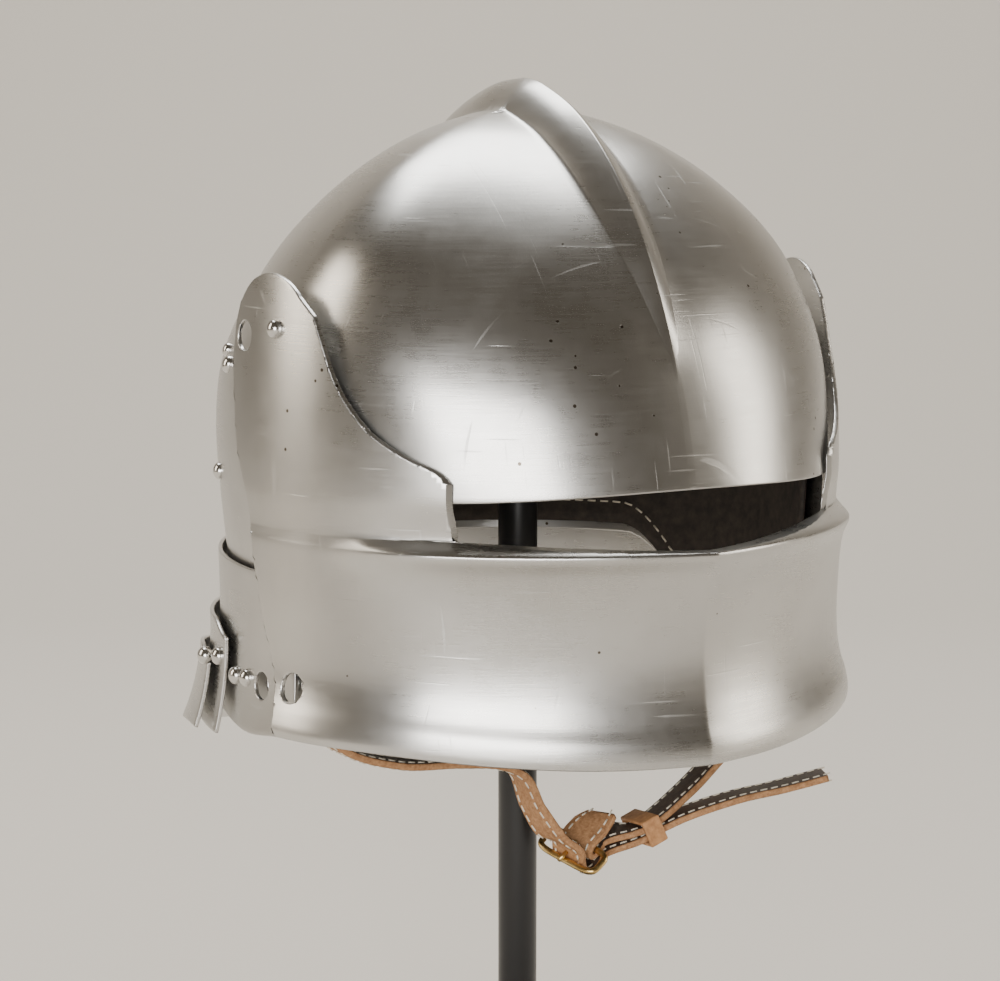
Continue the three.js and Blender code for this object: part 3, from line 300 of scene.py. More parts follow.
def across_cylinders(name, places, radius, sides=48):
    """Round cutters along X on both sides, at places (back, height) of the helmet in mm."""
    points, faces = [], []
    for back, height in places:
        for inner, outer in ((50.0, 150.0), (-150.0, -50.0)):
            start = len(points)
            for x in (inner, outer):
                for k in range(sides):
                    angle = 2 * math.pi * k / sides
                    points.append((x, back + radius * math.cos(angle), height + radius * math.sin(angle)))
            for k in range(sides):
                n = (k + 1) % sides
                faces.append((start + k, start + n, start + sides + n, start + sides + k))
            faces.append(tuple(start + k for k in reversed(range(sides))))
            faces.append(tuple(start + sides + k for k in range(sides)))
    return mesh_object(name, np.array(points) + HELMET_PLACE, faces, [])


def settle(made, smooth=True):
    """Makes an object's modifiers part of its mesh and removes them."""
    depsgraph = bpy.context.evaluated_depsgraph_get()
    mesh = bpy.data.meshes.new_from_object(made.evaluated_get(depsgraph))
    made.modifiers.clear()
    made.data = mesh
    if smooth:
        mesh.polygons.foreach_set("use_smooth", [True] * len(mesh.polygons))
    mesh.update()


def cut_with(made, cutter, operation="DIFFERENCE"):
    modifier = made.modifiers.new("cut", "BOOLEAN")
    modifier.operation = operation
    modifier.solver = "EXACT"
    modifier.object = cutter
    settle(made)
    bpy.data.objects.remove(cutter)


def ease_edges(made, width, segments=2, angle=62.0):
    """Rounds the plate's cut edges a little, and keeps the faces beside them smooth."""
    modifier = made.modifiers.new("edges", "BEVEL")
    modifier.width = width * MM
    modifier.segments = segments
    modifier.limit_method = "ANGLE"
    modifier.angle_limit = math.radians(angle)
    modifier.use_clamp_overlap = False
    modifier.harden_normals = False
    weighted = made.modifiers.new("normals", "WEIGHTED_NORMAL")
    weighted.keep_sharp = True
    weighted.weight = 80
    settle(made)


crown = np.array([0.0, 0.0, SKULL["crown"] + SKULL["comb_rise"]])
skull = plate_object("steel_skull", skull_grid(), SKULL["wall"], [steel], closed=True, apex=crown)
LAME_HOLE = (-9.15, 11.6)
cut_with(skull, across_cylinders("skull holes", [LAME_HOLE], 5.0))
ease_edges(skull, 0.5)
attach(skull, "helmet_and_stand")
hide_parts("skull")

# Visor: the band with its front crease, turned hem and ledge, and the two arms. A fine plate is cut
# to the side outline, and the open holes are cut through it. The wall and the arms' lean are each
# 0.3 mm under the solid's, so that the smooth plate clears the smooth dome when it is raised.
VISOR = {
    "half_width": 119.2, "front": 108.5, "squareness": 2.2, "keel": 12.8, "sweep": 112.0,
    "side_rise": 5.0, "band": 74.0, "lip_front": 68.3, "lip_corner": 71.5, "arm_top": 165.0,
    "ledge": 8.2, "flare": 4.6, "lean": 5.2, "corner_back": 85.7, "corner_top": 91.0,
    "sight_corner": 43.0, "ledge_end": 66.0, "rise_from": 8.0, "rise_to": 62.0,
    "head_forward": 17.5, "head_height": 137.0, "head_radius": 23.2, "head_end": 138.0,
    "hole": 5.3, "wall": 1.7,
}
BAND_LEVELS = {
    "height": (-0.095, -0.050, 0.020, 0.110, 0.240, 0.420, 0.640, 0.800, 0.890, 0.925, 0.965),
    "crease": (1.12, 1.14, 1.00, 0.52, 0.14, 0.00, 0.20, 0.55, 1.00, 0.80, -0.10),
    "corner": (1.00, 1.02, 0.86, 0.44, 0.12, 0.00, 0.10, 0.30, 0.62, 0.52, -0.20),
    "rear": (1.00, 1.02, 0.76, 0.36, 0.08, 0.00, 0.00, 0.00, 0.00, -0.02, -0.04),
}
FLARED_LEVELS = 5
ARM_FRONT_EDGE = {
    "forward": (1.000, 0.960, 0.880, 0.760, 0.670, 0.600, 0.540, 0.490),
    "up": (0.000, 0.065, 0.125, 0.235, 0.365, 0.500, 0.665, 0.800),
}
ARM_REAR_EDGE = {
    "back": (0.060, 0.009, -0.065, -0.115, -0.158, -0.235, -0.272, -0.295),
    "up": (1.730, 1.324, 1.081, 0.770, 0.541, 0.243, 0.027, -0.200),
}


def visor_points(degrees, height, out):
    angle = np.radians(degrees)
    sine, cosine = np.abs(np.sin(angle)), np.abs(np.cos(angle))
    ahead, side = np.sign(np.cos(angle)), np.sign(angle)
    power = 2 / VISOR["squareness"]
    keel = np.where(ahead > 0, VISOR["keel"] * (1 - sine) ** 2, 0)
    x = side * VISOR["half_width"] * sine ** power
    y = -ahead * VISOR["front"] * cosine ** power - keel
    normal = np.stack([side * sine ** (2 - power) / VISOR["half_width"],
                       -ahead * cosine ** (2 - power) / VISOR["front"]], -1)
    normal /= np.linalg.norm(normal, axis=-1, keepdims=True)
    return np.stack([x + normal[:, 0] * out, y + normal[:, 1] * out, height + 0 * x], -1)


def visor_grid():
    magnitudes = np.concatenate([[0, 0.4, 1.0, 1.8], np.linspace(2.8, VISOR["sweep"], 130)])
    degrees = np.concatenate([-magnitudes[:0:-1], magnitudes])
    away = np.abs(degrees)
    to_corner = np.minimum(away / VISOR["sight_corner"], 1)
    to_rear = smooth_step(VISOR["sight_corner"], VISOR["ledge_end"], away)
    rows = []
    last = len(BAND_LEVELS["height"]) - 1
    scale = np.array([VISOR["flare"]] * FLARED_LEVELS + [VISOR["ledge"]] * (last + 1 - FLARED_LEVELS))
    for level in np.linspace(0, last, 8 * last + 1):
        share = float(smooth_curve(BAND_LEVELS["height"], level))
        crease, corner, rear = (smooth_curve(np.array(BAND_LEVELS[name]) * scale, level)
                                for name in ("crease", "corner", "rear"))
        out = crease + (corner - crease) * to_corner
        out = out + (rear - out) * to_rear
        fade = 1 - smooth_step(0.02, 0.42, share)
        rise = VISOR["side_rise"] * smooth_step(VISOR["rise_from"], VISOR["rise_to"], away) * fade
        rows.append(visor_points(degrees, VISOR["band"] * share + rise, out))
    start = VISOR["band"] * BAND_LEVELS["height"][-1]
    for height in np.linspace(start, VISOR["arm_top"], 48)[1:]:
        share = max(height - VISOR["band"], 0) / (VISOR["arm_top"] - VISOR["band"])
        lean = -VISOR["lean"] * share ** 2
        left = 1 - smooth_step(start, start + 15, height)
        rows.append(visor_points(degrees, height, out * left + lean))
    return np.array(rows)


def visor_side_outline():
    """What the visor keeps, seen from the side, as (back, height) in mm."""
    steps = np.linspace(0, 7, 57)
    far = 2 * VISOR["front"]
    rear_back = smooth_curve(ARM_REAR_EDGE["back"], steps)[::-1] * VISOR["front"]
    rear_up = smooth_curve(ARM_REAR_EDGE["up"], steps)[::-1] * VISOR["band"]
    turn = np.radians(np.linspace(0, VISOR["head_end"], 40)[1:])
    head_back = -VISOR["head_forward"] + VISOR["head_radius"] * np.cos(turn)
    head_up = VISOR["head_height"] + VISOR["head_radius"] * np.sin(turn)
    tall = VISOR["head_height"] + VISOR["head_radius"] - VISOR["corner_top"]
    front_back = -VISOR["corner_back"] * smooth_curve(ARM_FRONT_EDGE["forward"], steps)[::-1]
    front_up = VISOR["corner_top"] + tall * smooth_curve(ARM_FRONT_EDGE["up"], steps)[::-1]
    lip_run = VISOR["front"] + VISOR["keel"] - VISOR["corner_back"]
    slope = (VISOR["lip_corner"] - VISOR["lip_front"]) / lip_run
    lip_end = VISOR["lip_corner"] - slope * (far - VISOR["corner_back"])
    outline = [(-far, -28.0), *zip(rear_back, rear_up), *zip(head_back, head_up),
               *zip(front_back, front_up), (-VISOR["corner_back"], VISOR["lip_corner"]), (-far, lip_end)]
    return np.array(outline)


outline = visor_side_outline()
count = len(outline)
points = np.vstack([np.column_stack([np.full(count, x), outline]) for x in (-150.0, 150.0)])
faces = [(k, (k + 1) % count, count + (k + 1) % count, count + k) for k in range(count)]
faces += [tuple(reversed(range(count))), tuple(range(count, 2 * count))]
keeping = mesh_object("visor outline", points + HELMET_PLACE, faces, [])
visor = plate_object("steel_visor", visor_grid(), VISOR["wall"], [steel])
cut_with(visor, keeping, "INTERSECT")
cut_with(visor, across_cylinders("visor holes", [(-2.5, 137.3), (-35.5, 15.7)], VISOR["hole"]))
ease_edges(visor, 0.45)
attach(visor, "visor")
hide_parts("visor")

# Tail lames: three neck plates, each outside the one above it; the first is on the helmet's body and the
# other two on their own bodies.
TAIL = {
    "half_width": 115.2, "back": 122.0, "top": 54.0, "wall": 1.6, "gap": 2.0, "spread": 4.2, "pivot": 0.315,
}
TAIL_LEVELS = {
    "height": (-0.704, -0.407, -0.148, 0.111, 0.370, 0.667, 1.000),
    "width": (1.062, 1.040, 1.018, 1.004, 0.996, 0.996, 0.999),
    "back": (1.160, 1.104, 1.060, 1.022, 0.994, 0.984, 0.986),
}
LAMES = {
    "body": ("helmet_and_stand", "lame_2", "lame_3"),
    "start": (-0.246, 0.138, 0.224),
    "top_side": (0.980, 0.556, 0.352),
    "top_nape": (1.000, 0.519, 0.111),
    "low_front": (-0.070, -0.194, -0.194),
    "low_side": (-0.167, -0.194, -0.194),
    "low_nape": (0.222, -0.148, -0.630),
}


def tail_points(index, angle, height):
    level = level_of(TAIL_LEVELS["height"], height / TAIL["top"])
    away = np.abs(height / TAIL["top"] - TAIL["pivot"])
    out = index * (TAIL["wall"] + TAIL["gap"] + TAIL["spread"] * away ** 2)
    width = TAIL["half_width"] * smooth_curve(TAIL_LEVELS["width"], level) + out
    back = TAIL["back"] * smooth_curve(TAIL_LEVELS["back"], level) + out
    return np.stack([width * np.sin(angle), back * np.cos(angle), height], -1)


for index in range(3):
    lame = {name: values[index] for name, values in LAMES.items()}
    share = np.linspace(-1, 1, 141)
    away = np.abs(share)
    to_nape = smooth_step(0, 0.75, 1 - away)
    side = lame["low_side"] + (lame["low_front"] - lame["low_side"]) * smooth_step(0.84, 1, away)
    low = TAIL["top"] * (side + (lame["low_nape"] - side) * to_nape)
    top = lame["top_side"] + (lame["top_nape"] - lame["top_side"]) * to_nape
    high = TAIL["top"] * top - 5.0 * smooth_step(0.9, 1, away)
    grid = np.array([tail_points(index, share * math.acos(lame["start"]), high + (low - high) * t)
                     for t in np.linspace(0, 1, 26)])
    plate = plate_object(f"steel_lame_{index + 1}", grid, TAIL["wall"], [steel])
    if index == 0:
        cut_with(plate, across_cylinders("lame hole", [LAME_HOLE], 5.0))
    ease_edges(plate, 0.4)
    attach(plate, lame["body"])
    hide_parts(f"tail_lame_{index + 1}")

# Rivets: round domed heads on the plates. A tree sets one head on every point of a small mesh, along
# the point's own direction and at its own size.
rivet_steel, shader, place = new_material("rivet steel", (0.68, 0.67, 0.65), 1.0, 0.16)
worn = place.noise(700.0, 3.0)
(0.12 + worn * 0.14).to(shader, "Roughness")
bump(worn, shader, 0.2, 0.0001)


def new_tree(name, inputs):
    """A geometry tree with named inputs; returns it, its starting values and its sockets' names."""
    tree = bpy.data.node_groups.new(name, "GeometryNodeTree")
    sockets = tree.interface
    sockets.new_socket("Geometry", in_out="INPUT", socket_type="NodeSocketGeometry")
    for label, value in inputs.items():
        kind = "NodeSocketMaterial" if value is None else "NodeSocketFloat"
        made = sockets.new_socket(label, in_out="INPUT", socket_type=kind)
        if value is not None:
            made.default_value = value
    sockets.new_socket("Geometry", in_out="OUTPUT", socket_type="NodeSocketGeometry")
    start = tree.nodes.new("NodeGroupInput")
    values = {socket.name: Value(tree, socket) for socket in start.outputs if socket.name}
    names = {item.name: item.identifier for item in tree.interface.items_tree if item.in_out == "INPUT"}
    return tree, values, names


def end_tree(tree, geometry, material):
    """Ends a tree: the copies become real and take their material."""
    real = geometry.node("GeometryNodeRealizeInstances", {"Geometry": geometry})
    finished = real.node("GeometryNodeSetMaterial", {"Geometry": real, "Material": material})
    end = tree.nodes.new("NodeGroupOutput")
    tree.links.new(finished.socket, end.inputs["Geometry"])


def grow(made, tree, names, values):
    """Runs a tree on an object with these input values and keeps the mesh that it makes."""
    modifier = made.modifiers.new(tree.name, "NODES")
    modifier.node_group = tree
    for label, value in values.items():
        modifier[names[label]] = value
    settle(made)


head_tree, values, head_names = new_tree("rivet heads", {
    "Radius": 0.0033, "Rise": 0.0024, "Stem": 0.0, "Material": None})
geometry = values["Geometry"]
ball = geometry.node("GeometryNodeMeshUVSphere", {"Segments": 28, "Rings": 18, "Radius": 1.0}, "Mesh")
where = geometry.node("GeometryNodeInputPosition")
x = where.node("ShaderNodeSeparateXYZ", {0: where}, "X")
y = where.node("ShaderNodeSeparateXYZ", {0: where}, "Y")
z = where.node("ShaderNodeSeparateXYZ", {0: where}, "Z")
raised = z.maths("MAXIMUM", z, 0.0) * values["Rise"] - (z < -0.001) * values["Stem"]
shaped = x.node("ShaderNodeCombineXYZ", {"X": x * values["Radius"], "Y": y * values["Radius"], "Z": raised})
head = ball.node("GeometryNodeSetPosition", {"Geometry": ball, "Position": shaped})
out = geometry.node("GeometryNodeInputNamedAttribute", {"Name": "out"}, data_type="FLOAT_VECTOR")
size = geometry.node("GeometryNodeInputNamedAttribute", {"Name": "size"}, data_type="FLOAT")
turned = out.node("FunctionNodeAlignRotationToVector", {"Vector": out}, axis="Z")
heads = geometry.node("GeometryNodeInstanceOnPoints", {
    "Points": geometry, "Instance": head, "Rotation": turned, "Scale": size})
end_tree(head_tree, heads, values["Material"])


def rivet_heads(name, seats, radius, rise, stem, body, nodes):
    """Heads on seats (point, direction, size) given in metres; they stand for the CAD nodes."""
    mesh = bpy.data.meshes.new(name)
    mesh.from_pydata([tuple(point) for point, _, _ in seats], [], [])
    directions = mesh.attributes.new("out", "FLOAT_VECTOR", "POINT")
    directions.data.foreach_set("vector", [v for _, out_way, _ in seats for v in out_way])
    sizes = mesh.attributes.new("size", "FLOAT", "POINT")
    sizes.data.foreach_set("value", [size_share for _, _, size_share in seats])
    made = bpy.data.objects.new(name, mesh)
    bpy.context.scene.collection.objects.link(made)
    grow(made, head_tree, head_names, {
        "Radius": radius * MM, "Rise": rise * MM, "Stem": stem * MM, "Material": rivet_steel})
    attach(made, body)
    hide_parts(*nodes)
    return made


def side_seats(names, depth=0.0):
    """Where the heads of rivets along X sit, read from their CAD nodes' boxes."""
    seats = []
    for name in names:
        low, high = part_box(name)
        sign = -1 if high.x < 0 else 1
        tip = high.x if sign > 0 else low.x
        middle = (low + high) / 2
        seats.append(((tip - sign * depth * MM, middle.y, middle.z), (sign, 0, 0), 1.0))
    return seats


def dome_seat(side, back, height, size):
    """Where a rivet of the skull sits: the dome's point at a place, and the way out of it."""
    level = float(level_of(DOME_LEVELS["height"], height / SKULL["crown"]))
    near, far = 0.0, math.pi
    for _ in range(40):
        middle = (near + far) / 2
        if dome_points(middle, level)[1] < back:
            near = middle
        else:
            far = middle
    point = dome_points(near, level)
    along = dome_points(near + 0.01, level) - point
    upward = dome_points(near, level + 0.01) - point
    out_way = np.cross(along, upward)
    out_way /= np.linalg.norm(out_way)
    mirror = np.array([side, 1.0, 1.0])
    seat = (point + 0.3 * out_way) * mirror + HELMET_PLACE
    return tuple(seat * MM), tuple(out_way * mirror), size


both = ("right", "left")
HEAD = {"radius": 3.3, "rise": 2.4}
plain = [f"{name}_{side}" for name in ("visor_pivot", "lame_rivet_front", "lame_rivet_rear", "lame_pivot_2")
         for side in both]
rivet_heads("plate_rivets", side_seats(plain, HEAD["rise"]), HEAD["radius"], HEAD["rise"], 2.0,
            "helmet_and_stand", plain)
last = [f"lame_pivot_3_{side}" for side in both]
rivet_heads("last_lame_rivets", side_seats(last, HEAD["rise"]), HEAD["radius"], HEAD["rise"], 2.0,
            "lame_3", last)
SKULL_RIVETS = {
    "name": ("arm_rivet_low", "arm_rivet_high", "lining_rivet_side", "lining_rivet_rear"),
    "back": (0.213, 0.279, 0.326, 0.810),
    "height": (0.571, 0.592, 0.382, 0.382),
    "size": (1.0, 0.8, 1.0, 1.0),
}
seats = [dome_seat(sign, SKULL["back"] * back, SKULL["crown"] * height, size)
         for back, height, size in zip(*(SKULL_RIVETS[name] for name in ("back", "height", "size")))
         for sign in (-1, 1)]
nodes = [f"{name}_{side}" for name in SKULL_RIVETS["name"] for side in both]
rivet_heads("skull_rivets", seats, HEAD["radius"], HEAD["rise"], 1.0, "helmet_and_stand", nodes)
pins = [f"catch_pin_{side}" for side in both]
rivet_heads("catch_pins", side_seats(pins, 2.4), 3.2, 2.4, 5.5, "helmet_and_stand", pins)
strap_pins = [f"strap_rivet_{side}" for side in both]
rivet_heads("strap_rivets", side_seats(strap_pins, 1.2), 3.3, 1.2, 5.0, "helmet_and_stand", strap_pins)

# Lining: the dark leather band inside, with a stitched seam along its lower edge.
lining_leather, shader, place = new_material("lining leather", (0.028, 0.022, 0.018), 0.0, 0.75)
pores = place.noise(260.0, 4.0, 0.6)
pores.ramp(0.3, 0.7).between((0.018, 0.014, 0.011), (0.05, 0.038, 0.03)).to(shader, "Base Color")
bump(pores, shader, 0.4, 0.0004)
LINING = {"wall": 1.8, "gap": 1.9, "start": 68.0, "low": 24.0, "top": 104.0, "above_rim": 4.0}
degrees = np.linspace(LINING["start"], 360 - LINING["start"], 121)
from_brow = np.minimum(degrees, 360 - degrees)
mirror = np.where(degrees > 180, -1.0, 1.0)
low = np.maximum(LINING["low"], rim_height(from_brow) + LINING["above_rim"])
rows = []
for t in np.linspace(0, 1, 14):
    level = level_of(DOME_LEVELS["height"], (low + (LINING["top"] - low) * t) / SKULL["crown"])
    points = dome_points(np.radians(from_brow), level, SKULL["wall"] + LINING["gap"])
    rows.append(points * np.stack([mirror, np.ones(121), np.ones(121)], -1))
lining = plate_object("leather_lining", np.array(rows), LINING["wall"], [lining_leather])
settle(lining)
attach(lining, "helmet_and_stand")
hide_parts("lining")

# Stitches: a tree lays short threads at an even pitch along any line of points.
thread, shader, place = new_material("waxed thread", (0.72, 0.66, 0.54), 0.0, 0.7)
stitch_tree, values, stitch_names = new_tree("stitches", {
    "Pitch": 0.0042, "Length": 0.0027, "Radius": 0.00035, "Material": None})
geometry = values["Geometry"]
line = geometry.node("GeometryNodeMeshToCurve", {"Mesh": geometry})
spaced = line.node("GeometryNodeResampleCurve", {"Curve": line, "Length": values["Pitch"]}, mode="LENGTH")
bar = line.node("GeometryNodeMeshCylinder", {
    "Vertices": 6, "Radius": values["Radius"], "Depth": values["Length"]}, "Mesh")
way = line.node("GeometryNodeInputTangent")
turned = way.node("FunctionNodeAlignRotationToVector", {"Vector": way}, axis="Z")
laid = spaced.node("GeometryNodeInstanceOnPoints", {"Points": spaced, "Instance": bar, "Rotation": turned})
end_tree(stitch_tree, laid, values["Material"])


def stitches(name, lines, body, pitch=4.2, length=2.7, radius=0.35):
    points, edges = [], []
    for one in lines:
        edges += [(len(points) + i, len(points) + i + 1) for i in range(len(one) - 1)]
        points += [tuple(p) for p in np.asarray(one) * MM]
    mesh = bpy.data.meshes.new(name)
    mesh.from_pydata(points, edges, [])
    made = bpy.data.objects.new(name, mesh)
    bpy.context.scene.collection.objects.link(made)
    grow(made, stitch_tree, stitch_names, {
        "Pitch": pitch * MM, "Length": length * MM, "Radius": radius * MM, "Material": thread})
    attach(made, body)
    return made


seam_low = level_of(DOME_LEVELS["height"], (low + 9.0) / SKULL["crown"])
seam = dome_points(np.radians(from_brow), seam_low, SKULL["wall"] + LINING["gap"] + LINING["wall"] + 0.1)
seam = seam * np.stack([mirror, np.ones(121), np.ones(121)], -1) + HELMET_PLACE
stitches("lining_stitches", [seam], "helmet_and_stand", 5.5, 3.4, 0.4)

# Chin strap: two leather ribbons on the solid's own routes, dark grain on one face and pale flesh on
# the other and on the cut edges, with two rows of pale stitches on each face.
grain_leather, shader, place = new_material("strap grain", (0.05, 0.032, 0.024), 0.0, 0.5)
creases = place.noise(420.0, 4.0, 0.65)
creases.ramp(0.3, 0.75).between((0.03, 0.02, 0.016), (0.1, 0.06, 0.04)).to(shader, "Base Color")
bump(creases, shader, 0.5, 0.0003)
flesh_leather, shader, place = new_material("strap flesh side", (0.45, 0.24, 0.11), 0.0, 0.8)
fibres = place.noise(600.0, 4.0, 0.7)
fibres.ramp(0.3, 0.75).between((0.26, 0.12, 0.05), (0.56, 0.31, 0.15)).to(shader, "Base Color")
bump(fibres, shader, 0.5, 0.0003)
STRAP = {"width": 15.0, "thickness": 2.6, "forward": 22.0, "drop": 65.0, "clearance": 0.4}
BUCKLE = {"centre": (2.5, -26.5, -65.0), "depth": 10.6, "length": 26.0, "bar": 1.3, "clearance": 0.5}
FRAME_SQUARENESS = 0.42
KEEPER = {"centre": (37.5, -28.0, -57.0), "length": 7.5, "gap": 0.9, "reach": 0.6}
low_corner, high_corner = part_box("strap_left")
HALF_SPAN = high_corner.x / MM - STRAP["thickness"] / 2
RIGHT_STRAP = {
    "across": (-1.000, -1.000, -0.900, -0.673, -0.416, -0.238, -0.150, -0.105, -0.052),
    "forward": (1.000, 1.000, 1.000, 1.000, 0.955, 0.955, 1.030, 1.160, 1.330),
    "down": (-0.320, -0.080, 0.160, 0.300, 0.345, 0.390, 0.469, 0.662, 0.815),
    "turn": (0, 0, 0, 0, 4, 6, 2, -6, -16),
}
THROUGH_BUCKLE = {
    "across": (0.00, 0.00, 0.04, 0.44, 1.20),
    "up": (0.55, 0.00, -0.46, -0.34, -0.24),
    "under": (0, 0, 0, 1, 1),
}
FREE_END = {
    "across": (0.505, 0.688, 0.838, 1.011),
    "forward": (1.500, 1.864, 2.136, 2.500),
    "down": (0.805, 0.710, 0.662, 0.589),
}
LEFT_STRAP = {
    "across": (1.000, 1.000, 0.930, 0.792, 0.649, 0.515),
    "forward": (1.000, 1.000, 1.000, 1.045, 1.091, 1.200),
    "down": (-0.320, -0.080, 0.154, 0.415, 0.611, 0.735),
    "turn": (0, 0, 4, 10, 16, 18),
}


def unit(vector):
    return np.asarray(vector, float) / np.linalg.norm(vector)


along_bar = unit((0.39, -0.89, -0.29))
across_bars = np.array([0.9, 0.0, 0.42])
across_bars = unit(across_bars - across_bars @ along_bar * along_bar)
out_of_frame = np.cross(along_bar, across_bars)
along_strand = unit((0.925, -0.06, 0.375))
strand_wide = np.array([-0.34, -0.94, 0.01])
strand_wide = unit(strand_wide - strand_wide @ along_strand * along_strand)
out_of_strand = np.cross(strand_wide, along_strand)


def buckle_point(across, up, along=0.0):
    return np.array(BUCKLE["centre"]) + across * across_bars + up * out_of_frame + along * along_bar


def keeper_point(along, up):
    return np.array(KEEPER["centre"]) + along * along_strand + up * out_of_strand


def strap_rows(table):
    """Places and width directions of a table's rows."""
    rows = []
    for i in range(len(table["across"])):
        at = np.array([HALF_SPAN * table["across"][i], -STRAP["forward"] * table["forward"][i],
                       -STRAP["drop"] * table["down"][i]])
        wide = strand_wide
        if "turn" in table:
            angle = math.radians(table["turn"][i])
            wide = np.array([-math.sin(angle), -math.cos(angle), 0.0])
        rows.append((at, wide))
    return rows


strand_offset = (STRAP["thickness"] + KEEPER["gap"]) / 2
fold_radius = BUCKLE["bar"] + BUCKLE["clearance"] + STRAP["thickness"] / 2
crossing = BUCKLE["bar"] + STRAP["clearance"] + STRAP["thickness"] / 2
turn_below = fold_radius + STRAP["thickness"] + STRAP["clearance"]
right_places = strap_rows(RIGHT_STRAP)
for across, up, under in zip(*THROUGH_BUCKLE.values()):
    at = buckle_point(crossing + BUCKLE["depth"] * across, BUCKLE["depth"] * up - under * turn_below)
    right_places.append((at, along_bar))
reach = KEEPER["reach"] * KEEPER["length"]
right_places += [(keeper_point(way * reach, -strand_offset), strand_wide) for way in (-1, 1)]
right_places += strap_rows(FREE_END)
left_places = strap_rows(LEFT_STRAP)
left_places += [(keeper_point(way * reach, strand_offset), strand_wide) for way in (1, -1)]
left_places.append((buckle_point(BUCKLE["depth"] * 1.72, -1.15 * fold_radius), along_bar))
for degrees in (-90, -135, -180, -225, -270):
    angle = math.radians(degrees)
    past, up = fold_radius * math.cos(angle), fold_radius * math.sin(angle)
    left_places.append((buckle_point(BUCKLE["depth"] + past, up), along_bar))
left_places.append((buckle_point(BUCKLE["depth"] * 1.59, fold_radius), along_bar))
fold_end_wide = 0.3 * along_bar + 0.7 * strand_wide
left_places.append((buckle_point(BUCKLE["depth"] * 2.27, 0.88 * fold_radius), fold_end_wide))


def route(places, steps):
    """A smooth centripetal route through the places: points, directions, widths and out directions."""
    ats = [at for at, _ in places]
    wides = [wide for _, wide in places]
    ats = [2 * ats[0] - ats[1], *ats, 2 * ats[-1] - ats[-2]]
    points, widths = [], []
    for i in range(len(places) - 1):
        p = ats[i:i + 4]
        d = [max(np.linalg.norm(p[k + 1] - p[k]) ** 0.5, 1e-3) for k in range(3)]
        m1 = ((p[1] - p[0]) / d[0] - (p[2] - p[0]) / (d[0] + d[1]) + (p[2] - p[1]) / d[1]) * d[1]
        m2 = ((p[2] - p[1]) / d[1] - (p[3] - p[1]) / (d[1] + d[2]) + (p[3] - p[2]) / d[2]) * d[1]
        end = steps + 1 if i == len(places) - 2 else steps
        for t in np.arange(end) / steps:
            a, b = 2 * t ** 3 - 3 * t ** 2 + 1, t ** 3 - 2 * t ** 2 + t
            points.append(a * p[1] + b * m1 + (1 - a) * p[2] + (t ** 3 - t ** 2) * m2)
            widths.append(wides[i] + (wides[i + 1] - wides[i]) * t)
    points, widths = np.array(points), np.array(widths)
    along = np.gradient(points, axis=0)
    along /= np.linalg.norm(along, axis=1, keepdims=True)
    widths = widths - np.sum(widths * along, axis=1, keepdims=True) * along
    widths /= np.linalg.norm(widths, axis=1, keepdims=True)
    return points, widths, np.cross(widths, along)


def strap_object(name, places, grain_side, body, node, stitch_name):
    """A ribbon with eased edges, its grain on one face, and the stitches on both faces."""
    points, widths, outs = route(places, 10)
    half, thick, ease = STRAP["width"] / 2, STRAP["thickness"] / 2, 0.5
    section = [(half - ease, thick), (0.0, thick), (-half + ease, thick), (-half, thick - ease),
               (-half, -thick + ease), (-half + ease, -thick), (0.0, -thick), (half - ease, -thick),
               (half, -thick + ease), (half, thick - ease)]
    sides = len(section)
    verts = np.array([[at + w * wide + o * out_way for w, o in section]
                      for at, wide, out_way in zip(points, widths, outs)]).reshape(-1, 3)
    faces, slots = [], []
    for i in range(len(points) - 1):
        for k in range(sides):
            a, b = sides * i + k, sides * i + (k + 1) % sides
            faces.append((a, a + sides, b + sides, b))
            upper = k in (0, 1)
            lower = k in (5, 6)
            slots.append(0 if (upper and grain_side > 0) or (lower and grain_side < 0) else 1)
    end = sides * (len(points) - 1)
    faces += [tuple(range(sides)), tuple(end + k for k in reversed(range(sides)))]
    slots += [1, 1]
    made = mesh_object(name, verts + HELMET_PLACE, faces, [grain_leather, flesh_leather])
    made.data.polygons.foreach_set("material_index", slots)
    made.data.polygons.foreach_set("use_smooth", [True] * len(faces))
    weighted = made.modifiers.new("normals", "WEIGHTED_NORMAL")
    weighted.weight = 60
    settle(made)
    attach(made, body)
    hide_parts(node)
    lines = [points + w * widths + face * (thick + 0.12) * outs + HELMET_PLACE
             for w in (-half + 2.2, half - 2.2) for face in (-1, 1)]
    stitches(stitch_name, lines, body)
    return made


strap_object("right_strap", right_places, 1, "helmet_and_stand", "strap_right", "right_strap_stitches")
strap_object("left_strap", left_places, -1, "helmet_and_stand", "strap_left", "left_strap_stitches")

# Keeper: the tan leather loop round both strands, its corners softened.
tan_leather, shader, place = new_material("tan leather", (0.5, 0.24, 0.1), 0.0, 0.6)
mottle = place.noise(380.0, 4.0, 0.6)
mottle.ramp(0.3, 0.75).between((0.33, 0.15, 0.06), (0.58, 0.3, 0.13)).to(shader, "Base Color")
bump(mottle, shader, 0.5, 0.0003)


